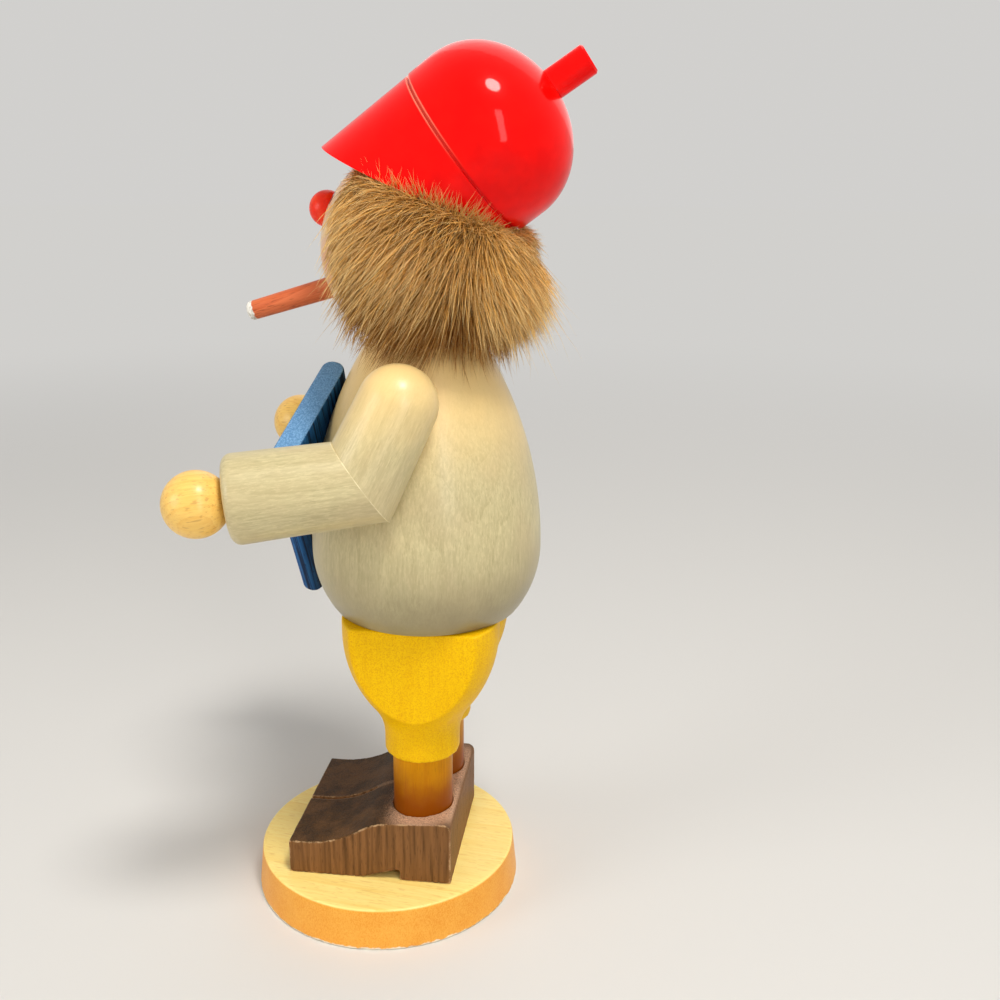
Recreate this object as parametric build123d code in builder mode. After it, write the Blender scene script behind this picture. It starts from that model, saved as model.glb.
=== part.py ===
"""Turned wooden incense smoker: a figure in a peaked cap, whose upper body lifts off its legs.

Millimetres, +Z up. The origin is the middle of the base disc's underside.
The figure faces -Y, and its left arm is on the +X side.
"""

import os
from math import cos, radians, sin, sqrt, tan

from build123d import *

os.makedirs("parts", exist_ok=True)

# Fits
glue_gap = 0.1
dowel_end_gap = 0.4
dowel_chamfer = 0.4
lift_clearance = 0.3
seat_gap = 0.05

# Base disc
base_top_radius = 36.0
base_bottom_radius = 37.2
base_thickness = 11.6
base_edge_radius = 0.8

# Shoe block, one piece of wood for both shoes
shoe_width = 44.6
shoe_length = 44.8
shoe_front_y = -22.9
toe_height = 9.8
toe_flat_length = 4.0
scoop_length = 15.9
scoop_rise = 4.9
crest_length = 7.2
crest_rise = 2.5
heel_height = 18.4
heel_edge_radius = 2.2
heel_length = 14.1
shank_length = 11.3
shank_rise = 3.3
crease_width = 0.9
crease_depth = 1.2
shoe_dowel_radius = 3.0
shoe_dowel_depth = 7.0
shoe_dowel_spacing = 24.0
shoe_dowel_y = -10.0

# Stockinged legs
body_y = 12.3
leg_radius = 8.1
leg_spacing = 20.0
leg_socket_depth = 8.0
stocking_length = 17.6
leg_edge_chamfer = 0.6

# Trouser legs, turned and sawn flat inside and outside
trouser_height = 37.5
trouser_neck_radius = 10.1
trouser_neck_length = 3.4
trouser_flare_radius = 15.0
trouser_radius = 20.7
trouser_band = 3.7
trouser_half_width = 22.8
trouser_socket_depth = 14.0

# Waist plug that the upper body is set over
plug_radius = 17.0
plug_height = 9.0
plug_chamfer = 1.0
waist_dowel_radius = 3.0
waist_dowel_depth = 6.0

# Tin incense plate and its tack
plate_radius = 13.0
plate_floor_radius = 10.5
plate_rim_height = 2.2
plate_thickness = 0.5
tack_radius = 0.8
tack_length = 7.0
tack_head_radius = 2.4
tack_head_height = 0.7

# Torso, a turned pear with the smoke chamber bored from below
torso_height = 70.7
torso_foot_radius = 24.5
belly_radius = 30.2
belly_height = 16.8
flank_radius = 100.0
torso_foot_edge = 0.8
chamber_height = 42.0
chamber_cone_angle = 60.0
smoke_bore_radius = 3.5

# Neck tube
neck_tube_radius = 6.0
neck_depth_in_torso = 11.0
neck_depth_in_head = 10.0

# Head ball
head_radius = 25.2
neck_seat_radius = 11.4
smoke_rise_in_head = 21.6
mouth_drop_angle = 22.7

# Nose ball
nose_radius = 4.5
nose_rise_angle = 21.2
nose_standoff = 0.5
nose_peg_radius = 2.0
nose_peg_length = 6.0

# Cigar
cigar_radius = 2.7
cigar_tip_radius = 2.4
cigar_tip_round = 1.1
cigar_length = 23.3
cigar_seat = 8.0
cigar_drop_angle = 17.0
cigar_bore_radius = 1.1
mouth_channel_radius = 2.0

# Cap, turned as a bullet and sawn off on the slant
cap_seat_height = 13.0
cap_seat_tilt = 22.5
cap_axis_rise = 37.0
cap_back_offset = 4.6
cap_dome_height = 18.0
cap_crown_length = 19.0
cap_radius = 22.2
visor_radius = 22.0
seam_offset = 6.6
seam_groove_width = 0.8
seam_groove_depth = 0.8
cap_dowel_radius = 4.0
cap_dowel_in_head = 8.0
cap_dowel_in_cap = 11.0

# Stem on the cap
stem_radius = 3.75
stem_length = 10.1
stem_depth = 8.0
stem_rise_angle = 34.0
stem_edge_chamfer = 0.5

# Fur strip glued round the head under the cap
fur_top_radius = 20.5
fur_top_rise = 22.0
fur_bulge_radius = 31.8
fur_bulge_drop = 5.0
fur_low_radius = 30.0
fur_low_drop = 19.0
fur_tip_radius = 20.4
fur_tip_drop = 27.6
fur_inner_radius = 9.0
fur_gap = 0.3
fur_lap = 1.0
fur_top_tilt = 28.5
face_half_angle = 48.0
cheek_cut_angle = 54.0
cheek_cut_distance = 23.5

# Arms, each a tapered dowel sawn through at the elbow and turned
shoulder_x = 27.8
shoulder_forward = 1.3
shoulder_height = 59.9
elbow_standoff = 1.8
elbow_forward = 9.65
elbow_height = 42.0
shoulder_radius = 9.6
elbow_radius = 10.2
cuff_radius = 10.8
forearm_length = 31.0
forearm_drop_angle = 6.0
forearm_splay_angle = 15.5
cuff_edge_radius = 2.4
elbow_dowel_radius = 3.0
elbow_dowel_depth = 7.0
shoulder_dowel_radius = 3.0
shoulder_dowel_drop = 3.0
shoulder_dowel_in_torso = 8.0
shoulder_dowel_in_arm = 7.0

# Hands
hand_radius = 8.0
hand_flat_distance = 7.0
hand_peg_radius = 3.0
hand_peg_length = 9.0

# Flat board held before the belly
board_width = 35.7
board_length = 61.3
board_thickness = 6.0
board_corner_radius = 2.4
board_edge_radius = 1.6
board_turn = 9.0
board_lean = 12.4
board_slant = 37.8
board_shift_side = -2.7
board_shift_down = 9.0
board_flat_depth = 1.8
board_peg_radius = 2.0
board_peg_in_torso = 6.0
board_peg_in_board = 3.5

# Levels, from the floor up
heel_top_z = base_thickness + heel_height
leg_bottom_z = heel_top_z - leg_socket_depth
trouser_bottom_z = heel_top_z + stocking_length
waist_z = trouser_bottom_z + trouser_height
plug_top_z = waist_z + plug_height
torso_top_z = waist_z + torso_height
belly_z = waist_z + belly_height
head_z = torso_top_z + sqrt(head_radius**2 - neck_seat_radius**2)
head_center = Vector(0, body_y, head_z)

body_plane = Plane(origin=(0, body_y, 0), x_dir=(1, 0, 0), z_dir=(0, -1, 0))
body_axis = Axis((0, body_y, 0), (0, 0, 1))
sides = (("left", 1), ("right", -1))


def in_side_plane(forward_angle):
    """Unit vector in the figure's middle plane, pointing forward and this many degrees up."""
    return Vector(0, -cos(radians(forward_angle)), sin(radians(forward_angle)))


def straight_dowel(start, direction, length, radius):
    """Round dowel with lightly chamfered ends, from start along direction."""
    with BuildPart() as dowel:
        with BuildSketch(Plane(origin=start, z_dir=direction)):
            Circle(radius)
        extrude(amount=length)
        chamfer(dowel.edges().filter_by(GeomType.CIRCLE), dowel_chamfer)
    return dowel.part


def turned_curve(start, end, start_way):
    """Gentle arc of a lathe profile, leaving start along start_way. Builds in the open BuildLine."""
    first = Vector(*start)
    last = Vector(*end)
    leave = Vector(*start_way).normalized()
    chord = last - first
    run = chord.normalized()
    arrive = run * (2 * leave.dot(run)) - leave
    half_turn = radians(leave.get_angle(run))
    handle = 2 / 3 * chord.length * tan(half_turn / 2) / sin(half_turn)
    return Bezier(first, first + leave * handle, last - arrive * handle, last)


def save(part, name):
    """Label one finished piece and write it to its own file."""
    part.label = name
    export_step(part, f"parts/{name}.step")


# Base disc: a turned disc whose side flares a little towards the floor
shoe_dowel_places = [(x, shoe_dowel_y) for x in (-shoe_dowel_spacing / 2, shoe_dowel_spacing / 2)]
with BuildPart() as base_disc:
    with BuildSketch(Plane.XZ):
        with BuildLine():
            Polyline(
                (0, 0),
                (base_bottom_radius, 0),
                (base_top_radius, base_thickness),
                (0, base_thickness),
                close=True,
            )
        make_face()
    revolve(axis=Axis.Z)
    fillet(base_disc.edges().filter_by(GeomType.CIRCLE), base_edge_radius)
    with Locations(*[(x, y, base_thickness) for x, y in shoe_dowel_places]):
        Hole(shoe_dowel_radius + glue_gap, shoe_dowel_depth + dowel_end_gap)
save(base_disc.part, "base_disc")

# Shoe block: one sawn profile, scooped over the insteps, with a crease that parts the toes
shoe_back_y = shoe_front_y + shoe_length
scoop_start = (shoe_front_y + toe_flat_length, base_thickness + toe_height)
scoop_end = (scoop_start[0] + scoop_length, scoop_start[1] + scoop_rise)
crest_end = (scoop_end[0] + crest_length, scoop_end[1] + crest_rise)
heel_step_y = shoe_back_y - heel_length


def toe_line(drop):
    """Lines of the toe and scoop in the side view, lowered by drop. Builds in the open BuildLine."""
    toe = Line((shoe_front_y, scoop_start[1] - drop), (scoop_start[0], scoop_start[1] - drop))
    return TangentArc(toe @ 1, (scoop_end[0], scoop_end[1] - drop), tangent=toe % 1)


with BuildPart() as shoe_block:
    with BuildSketch(Plane.YZ):
        with BuildLine():
            scoop = toe_line(0)
            crest = TangentArc(scoop_end, crest_end, tangent=scoop % 1)
            Polyline(
                crest_end,
                (shoe_back_y, heel_top_z),
                (shoe_back_y, base_thickness),
                (heel_step_y, base_thickness),
                (heel_step_y, base_thickness + shank_rise),
                (heel_step_y - shank_length, base_thickness),
                (shoe_front_y, base_thickness),
                (shoe_front_y, scoop_start[1]),
            )
        make_face()
    extrude(amount=shoe_width / 2, both=True)
    heel_edge = shoe_block.edges().filter_by(Axis.X).group_by(Axis.Y)[-1].sort_by(Axis.Z)[-1]
    fillet(heel_edge, heel_edge_radius)
    with BuildSketch(Plane.YZ):
        with BuildLine():
            toe_line(crease_depth)
            Polyline(
                (scoop_end[0], scoop_end[1] - crease_depth),
                (scoop_end[0], heel_top_z),
                (shoe_front_y, heel_top_z),
                (shoe_front_y, scoop_start[1] - crease_depth),
            )
        make_face()
    extrude(amount=crease_width / 2, both=True, mode=Mode.SUBTRACT)
    with Locations(*[(side * leg_spacing / 2, body_y, leg_bottom_z) for _, side in sides]):
        Cylinder(
            leg_radius + glue_gap,
            heel_height,
            align=(Align.CENTER, Align.CENTER, Align.MIN),
            mode=Mode.SUBTRACT,
        )
    with Locations(Plane(origin=(0, 0, base_thickness), x_dir=(1, 0, 0), z_dir=(0, 0, -1))):
        with Locations(*[(x, -y) for x, y in shoe_dowel_places]):
            Hole(shoe_dowel_radius + glue_gap, shoe_dowel_depth + dowel_end_gap)
save(shoe_block.part, "shoe_block")

# Two hidden dowels between the base disc and the shoe block
with BuildPart() as shoe_dowels:
    with BuildSketch(Plane.XY.offset(base_thickness - shoe_dowel_depth)):
        with Locations(*shoe_dowel_places):
            Circle(shoe_dowel_radius)
    extrude(amount=2 * shoe_dowel_depth)
    chamfer(shoe_dowels.edges().filter_by(GeomType.CIRCLE), dowel_chamfer)
save(shoe_dowels.part, "shoe_dowels")

# Legs and trouser legs, the same on both sides
flare_turn_height = trouser_height - trouser_neck_length - trouser_band
flare_turn_width = trouser_radius - trouser_neck_radius
flare_half_tangent = flare_turn_width / flare_turn_height
flare_cos = (1 - flare_half_tangent**2) / (1 + flare_half_tangent**2)
flare_sin = 2 * flare_half_tangent / (1 + flare_half_tangent**2)
neck_top = (trouser_neck_radius, trouser_bottom_z + trouser_neck_length)
flare_end = (
    neck_top[0] + trouser_flare_radius * (1 - flare_cos),
    neck_top[1] + trouser_flare_radius * flare_sin,
)
bulge_end = (trouser_radius, waist_z - trouser_band)
leg_length = leg_socket_depth + stocking_length + trouser_socket_depth

for side_name, side in sides:
    leg_x = side * leg_spacing / 2
    with BuildPart() as leg:
        with BuildSketch(Plane.XY.offset(leg_bottom_z)):
            with Locations((leg_x, body_y)):
                Circle(leg_radius)
        extrude(amount=leg_length)
        chamfer(leg.edges().filter_by(GeomType.CIRCLE), leg_edge_chamfer)
    save(leg.part, f"leg_{side_name}")

    with BuildPart() as trouser:
        with BuildSketch(Plane(origin=(leg_x, body_y, 0), x_dir=(1, 0, 0), z_dir=(0, -1, 0))):
            with BuildLine():
                Polyline((0, waist_z), (0, trouser_bottom_z), (neck_top[0], trouser_bottom_z), neck_top)
                turned_curve(neck_top, flare_end, (0, 1))
                turned_curve(flare_end, bulge_end, (flare_sin, flare_cos))
                Polyline(bulge_end, (trouser_radius, waist_z), (0, waist_z))
            make_face()
        revolve(axis=Axis((leg_x, body_y, 0), (0, 0, 1)))
        split(bisect_by=Plane.YZ, keep=Keep.TOP if side > 0 else Keep.BOTTOM)
        split(
            bisect_by=Plane.YZ.offset(side * trouser_half_width),
            keep=Keep.BOTTOM if side > 0 else Keep.TOP,
        )
        with Locations(Plane(origin=(leg_x, body_y, trouser_bottom_z), z_dir=(0, 0, -1))):
            Hole(leg_radius + glue_gap, trouser_socket_depth + dowel_end_gap)
        with Locations((leg_x, body_y, waist_z)):
            Hole(waist_dowel_radius + glue_gap, waist_dowel_depth + dowel_end_gap)
    save(trouser.part, f"trouser_{side_name}")

# Waist plug: glued across both trouser legs, it centres the upper body and carries the plate
with BuildPart() as waist_plug:
    with BuildSketch(Plane.XY.offset(waist_z)):
        with Locations((0, body_y)):
            Circle(plug_radius)
    extrude(amount=plug_height)
    chamfer(waist_plug.edges().filter_by(GeomType.CIRCLE).sort_by(Axis.Z)[-1], plug_chamfer)
    with Locations(Plane(origin=(0, body_y, waist_z), x_dir=(1, 0, 0), z_dir=(0, 0, -1))):
        with Locations((-leg_spacing / 2, 0), (leg_spacing / 2, 0)):
            Hole(waist_dowel_radius + glue_gap, waist_dowel_depth + dowel_end_gap)
    with Locations((0, body_y, plug_top_z)):
        Hole(tack_radius + seat_gap, tack_length)
save(waist_plug.part, "waist_plug")

with BuildPart() as waist_dowels:
    with BuildSketch(Plane.XY.offset(waist_z - waist_dowel_depth)):
        with Locations((-leg_spacing / 2, body_y), (leg_spacing / 2, body_y)):
            Circle(waist_dowel_radius)
    extrude(amount=2 * waist_dowel_depth)
    chamfer(waist_dowels.edges().filter_by(GeomType.CIRCLE), dowel_chamfer)
save(waist_dowels.part, "waist_dowels")

# Incense plate: a pressed tin dish with a turned-up rim, held by one tack
with BuildPart() as incense_plate:
    with BuildSketch(body_plane):
        with BuildLine():
            Polyline(
                (tack_radius + seat_gap, plug_top_z),
                (plate_floor_radius, plug_top_z),
                (plate_radius, plug_top_z + plate_rim_height),
                (plate_radius - plate_thickness, plug_top_z + plate_rim_height + plate_thickness / 2),
                (plate_floor_radius - plate_thickness / 2, plug_top_z + plate_thickness),
                (tack_radius + seat_gap, plug_top_z + plate_thickness),
                close=True,
            )
        make_face()
    revolve(axis=body_axis)
save(incense_plate.part, "incense_plate")

tack_neck_z = plug_top_z + plate_thickness
tack_top_z = tack_neck_z + tack_head_height
with BuildPart() as plate_tack:
    with BuildSketch(body_plane):
        with BuildLine():
            Polyline(
                (0, plug_top_z - tack_length),
                (tack_radius, plug_top_z - tack_length + 2 * tack_radius),
                (tack_radius, tack_neck_z),
                (tack_head_radius, tack_neck_z),
            )
            TangentArc((0, tack_top_z), (tack_head_radius, tack_neck_z), tangent=(1, 0))
            Line((0, tack_top_z), (0, plug_top_z - tack_length))
        make_face()
    revolve(axis=body_axis)
save(plate_tack.part, "plate_tack")

# Torso outline: a small arc from the foot to the belly, and one long arc up to the neck
flank_center_radius = belly_radius - flank_radius
torso_top_radius = flank_center_radius + sqrt(flank_radius**2 - (torso_top_z - belly_z) ** 2)


def torso_blank(grow):
    """The torso before boring, with its skin moved out by grow."""
    belly = (belly_radius + grow, belly_z)
    foot = (torso_foot_radius + grow, waist_z - grow)
    top = (torso_top_radius + grow, torso_top_z + grow)
    with BuildPart() as blank:
        with BuildSketch(body_plane):
            with BuildLine():
                turned_curve(belly, foot, (0, -1))
                turned_curve(belly, top, (0, 1))
                Polyline(top, (0, top[1]), (0, foot[1]), foot)
            make_face()
        revolve(axis=body_axis)
    return blank.part


# The flat sanded on the flank for the board, and the board's own plane
board_out = Vector(
    -sin(radians(board_turn)) * cos(radians(board_lean)),
    -cos(radians(board_turn)) * cos(radians(board_lean)),
    sin(radians(board_lean)),
)
board_side = Vector(cos(radians(board_turn)), -sin(radians(board_turn)), 0)
board_up = board_out.cross(board_side)
touch_radius = flank_center_radius + flank_radius * cos(radians(board_lean))
touch_z = belly_z + flank_radius * sin(radians(board_lean))
flank_touch = Vector(
    -touch_radius * sin(radians(board_turn)),
    body_y - touch_radius * cos(radians(board_turn)),
    touch_z,
)
board_seat = Plane(origin=flank_touch - board_out * board_flat_depth, z_dir=board_out)
board_center = board_seat.origin + board_side * board_shift_side - board_up * board_shift_down
board_short = board_side * cos(radians(board_slant)) - board_up * sin(radians(board_slant))
board_plane = Plane(origin=board_center + board_out * seat_gap, x_dir=board_short, z_dir=board_out)

# Arm points and directions of the left arm, mirrored for the right one
shoulder_dowel_z = waist_z + shoulder_height - shoulder_dowel_drop
shoulder_skin = flank_center_radius + sqrt(flank_radius**2 - (shoulder_dowel_z - belly_z) ** 2)


def arm_frame(side):
    """Shoulder, elbow, the two arm directions and the elbow's saw cut on one side."""
    shoulder = Vector(side * shoulder_x, body_y - shoulder_forward, waist_z + shoulder_height)
    elbow_x = belly_radius + elbow_standoff
    elbow = Vector(side * elbow_x, body_y - elbow_forward, waist_z + elbow_height)
    upper_way = (elbow - shoulder).normalized()
    fore_way = in_side_plane(-forearm_drop_angle).rotate(Axis.Z, side * forearm_splay_angle)
    cut = Plane(origin=elbow, z_dir=upper_way + fore_way)
    return shoulder, elbow, upper_way, fore_way, cut


def shoulder_dowel_start(side):
    """Inner end of the dowel that fixes an upper arm to the torso."""
    return Vector(side * (shoulder_skin - shoulder_dowel_in_torso), body_y, shoulder_dowel_z)


# Torso: the pear with the board's flat, bored for plug and smoke, drilled for neck, arms and board
bore_radius = plug_radius + lift_clearance
chamber_top_z = waist_z + chamber_height
cone_height = (bore_radius - smoke_bore_radius) / tan(radians(chamber_cone_angle))
turned_pear = torso_blank(0)
with BuildPart() as torso:
    add(turned_pear)
    fillet(torso.edges().filter_by(GeomType.CIRCLE).sort_by(Axis.Z)[0], torso_foot_edge)
    split(bisect_by=board_seat, keep=Keep.BOTTOM)
    with BuildSketch(body_plane):
        with BuildLine():
            Polyline(
                (0, waist_z),
                (bore_radius, waist_z),
                (bore_radius, chamber_top_z),
                (smoke_bore_radius, chamber_top_z + cone_height),
                (smoke_bore_radius, torso_top_z),
                (0, torso_top_z),
                close=True,
            )
        make_face()
    revolve(axis=body_axis, mode=Mode.SUBTRACT)
    with Locations((0, body_y, torso_top_z)):
        Hole(neck_tube_radius + glue_gap, neck_depth_in_torso + dowel_end_gap)
    for _, side in sides:
        drill_mouth = Vector(side * belly_radius, body_y, shoulder_dowel_z)
        drill_depth = belly_radius - shoulder_skin + shoulder_dowel_in_torso + dowel_end_gap
        with Locations(Plane(origin=drill_mouth, z_dir=(side, 0, 0))):
            Hole(shoulder_dowel_radius + glue_gap, drill_depth)
    with Locations(board_seat):
        Hole(board_peg_radius + glue_gap, board_peg_in_torso + dowel_end_gap)
save(torso.part, "torso")

# Neck tube: a hollow dowel that joins torso and head and lets the smoke pass
with BuildPart() as neck_tube:
    with BuildSketch(Plane.XY.offset(torso_top_z - neck_depth_in_torso)):
        with Locations((0, body_y)):
            Circle(neck_tube_radius)
            Circle(smoke_bore_radius, mode=Mode.SUBTRACT)
    extrude(amount=neck_depth_in_torso + neck_depth_in_head)
save(neck_tube.part, "neck_tube")

# Head: a ball, flat at the neck, sawn on the slant for the cap, bored for smoke, nose and cigar
seat_out = Vector(0, sin(radians(cap_seat_tilt)), cos(radians(cap_seat_tilt)))
seat_center = head_center + seat_out * cap_seat_height
seat_plane = Plane(origin=seat_center, x_dir=(1, 0, 0), z_dir=seat_out)
nose_way = in_side_plane(nose_rise_angle)
nose_center = head_center + nose_way * (head_radius + nose_standoff)
nose_plane = Plane(origin=nose_center, x_dir=(1, 0, 0), z_dir=nose_way)
cigar_way = in_side_plane(-cigar_drop_angle)
mouth = head_center + in_side_plane(-mouth_drop_angle) * head_radius
mouth_lead = cigar_radius
mouth_plane = Plane(origin=mouth + cigar_way * mouth_lead, x_dir=(1, 0, 0), z_dir=cigar_way)
mouth_to_axis = head_radius * cos(radians(mouth_drop_angle)) / cos(radians(cigar_drop_angle))
with BuildPart() as head:
    with Locations(head_center):
        Sphere(head_radius)
    split(bisect_by=Plane.XY.offset(torso_top_z), keep=Keep.TOP)
    split(bisect_by=seat_plane, keep=Keep.BOTTOM)
    with Locations(Plane(origin=(0, body_y, torso_top_z), z_dir=(0, 0, -1))):
        Hole(neck_tube_radius + glue_gap, neck_depth_in_head + dowel_end_gap)
        Hole(smoke_bore_radius, smoke_rise_in_head)
    with Locations(mouth_plane):
        Hole(cigar_radius + glue_gap, mouth_lead + cigar_seat)
        Hole(mouth_channel_radius, mouth_lead + mouth_to_axis)
    with Locations(nose_plane):
        Sphere(nose_radius + glue_gap, mode=Mode.SUBTRACT)
        Hole(nose_peg_radius + glue_gap, nose_radius + nose_peg_length + dowel_end_gap)
    with Locations(seat_plane):
        Hole(cap_dowel_radius + glue_gap, cap_dowel_in_head + dowel_end_gap)
save(head.part, "head")

# Nose: a small ball turned with its peg
with BuildPart() as nose:
    with Locations(nose_plane):
        Sphere(nose_radius)
    with BuildSketch(nose_plane):
        Circle(nose_peg_radius)
    extrude(amount=-(nose_radius + nose_peg_length))
save(nose.part, "nose")

# Cigar: a slim turned stick, bored so that the smoke leaves at its tip
with BuildPart() as cigar:
    with BuildSketch(Plane(origin=mouth, x_dir=cigar_way, z_dir=(1, 0, 0))):
        with BuildLine():
            Polyline(
                (-cigar_seat, cigar_bore_radius),
                (-cigar_seat, cigar_radius),
                (0, cigar_radius),
                (cigar_length, cigar_tip_radius),
                (cigar_length, cigar_bore_radius),
                close=True,
            )
        make_face()
    revolve(axis=Axis(mouth, cigar_way))
    tip_edges = cigar.edges().filter_by(GeomType.CIRCLE).group_by(Axis(mouth, cigar_way))[-1]
    fillet(tip_edges.sort_by(SortBy.RADIUS)[-1], cigar_tip_round)
save(cigar.part, "cigar")

# Cap outline: a round-ended cylinder, long enough that the slanted saw cut runs out at the visor's tip
cap_way = Vector(0, cos(radians(cap_axis_rise)), sin(radians(cap_axis_rise)))
seat_back = Vector(0, cos(radians(cap_seat_tilt)), -sin(radians(cap_seat_tilt)))
dome_center = seat_center + seat_back * cap_back_offset + seat_out * cap_dome_height
cap_axis = Axis(dome_center, cap_way)
cap_blank_reach = (cap_dome_height + visor_radius) / sin(radians(cap_seat_tilt + cap_axis_rise))


def cap_blank(grow):
    """The turned cap before the saw cut, with its skin moved out by grow."""
    crown = cap_crown_length + grow
    wall = cap_radius + grow
    visor = visor_radius + grow
    with BuildPart() as blank:
        with BuildSketch(Plane(origin=dome_center, x_dir=cap_way, z_dir=(1, 0, 0))):
            with BuildLine():
                EllipticalCenterArc((0, 0), crown, wall, start_angle=0, arc_size=90)
                Polyline(
                    (0, wall),
                    (-seam_offset, wall),
                    (-seam_offset, visor),
                    (-cap_blank_reach, visor),
                    (-cap_blank_reach, 0),
                    (crown, 0),
                )
            make_face()
        revolve(axis=cap_axis)
    return blank.part


# Cap: the turned piece with a groove where the visor begins, sawn to the head's slant
stem_way = Vector(0, cos(radians(stem_rise_angle)), sin(radians(stem_rise_angle)))
stem_plane = Plane(origin=dome_center + cap_way * cap_crown_length, z_dir=stem_way)
turned_cap = cap_blank(0)
with BuildPart() as cap:
    add(turned_cap)
    with BuildSketch(Plane(origin=dome_center - cap_way * seam_offset, z_dir=-cap_way)):
        Circle(cap_radius + seam_groove_depth)
        Circle(visor_radius - seam_groove_depth, mode=Mode.SUBTRACT)
    extrude(amount=seam_groove_width, mode=Mode.SUBTRACT)
    split(bisect_by=seat_plane, keep=Keep.TOP)
    with Locations(Plane(origin=seat_center, x_dir=(1, 0, 0), z_dir=-seat_out)):
        Hole(cap_dowel_radius + glue_gap, cap_dowel_in_cap + dowel_end_gap)
    with Locations(stem_plane):
        Hole(stem_radius + glue_gap, stem_depth + dowel_end_gap)
save(cap.part, "cap")

cap_dowel_foot = seat_center - seat_out * cap_dowel_in_head
cap_dowel = straight_dowel(cap_dowel_foot, seat_out, cap_dowel_in_head + cap_dowel_in_cap, cap_dowel_radius)
save(cap_dowel, "cap_dowel")

with BuildPart() as cap_stem:
    with BuildSketch(stem_plane.offset(-stem_depth)):
        Circle(stem_radius)
    extrude(amount=stem_depth + stem_length)
    stem_rim = cap_stem.edges().filter_by(GeomType.CIRCLE).group_by(Axis(dome_center, stem_way))[-1]
    chamfer(stem_rim, stem_edge_chamfer)
save(cap_stem.part, "cap_stem")

# Fur: a full ring of hair that laps over the cap's edge, open at the face
fur_clear_torso = torso_blank(fur_gap)
fur_clear_cap = cap_blank(fur_gap)
fur_top_out = Vector(0, sin(radians(fur_top_tilt)), cos(radians(fur_top_tilt)))
fur_top_plane = Plane(origin=seat_center + seat_out * fur_lap, z_dir=fur_top_out)
cheek_way = in_side_plane(-cheek_cut_angle)
cheek_plane = Plane(origin=head_center + cheek_way * cheek_cut_distance, z_dir=cheek_way)
with BuildPart() as fur_hair:
    with BuildSketch(body_plane):
        with BuildLine():
            fur_top = (fur_top_radius, head_z + fur_top_rise)
            fur_bulge = (fur_bulge_radius, head_z - fur_bulge_drop)
            fur_low = (fur_low_radius, head_z - fur_low_drop)
            fur_tip = (fur_tip_radius, head_z - fur_tip_drop)
            Spline(fur_top, fur_bulge, fur_low)
            Polyline(
                fur_low,
                fur_tip,
                (fur_inner_radius, fur_tip[1]),
                (fur_inner_radius, fur_top[1]),
                fur_top,
            )
        make_face()
    revolve(axis=body_axis)
    split(bisect_by=fur_top_plane, keep=Keep.BOTTOM)
    split(bisect_by=cheek_plane, keep=Keep.BOTTOM)
    face_depth = 2 * fur_bulge_radius
    face_reach = face_depth * tan(radians(face_half_angle))
    with BuildSketch(Plane.XY):
        with BuildLine():
            Polyline(
                (0, body_y),
                (-face_reach, body_y - face_depth),
                (face_reach, body_y - face_depth),
                close=True,
            )
        make_face()
    extrude(amount=head_z + 2 * head_radius, mode=Mode.SUBTRACT)
    with Locations(head_center):
        Sphere(head_radius + fur_gap, mode=Mode.SUBTRACT)
    add(fur_clear_cap, mode=Mode.SUBTRACT)
    add(fur_clear_torso, mode=Mode.SUBTRACT)
    with Locations(*[arm_frame(side)[0] for _, side in sides]):
        Sphere(shoulder_radius + fur_gap, mode=Mode.SUBTRACT)
save(fur_hair.part, "fur_hair")

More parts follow.
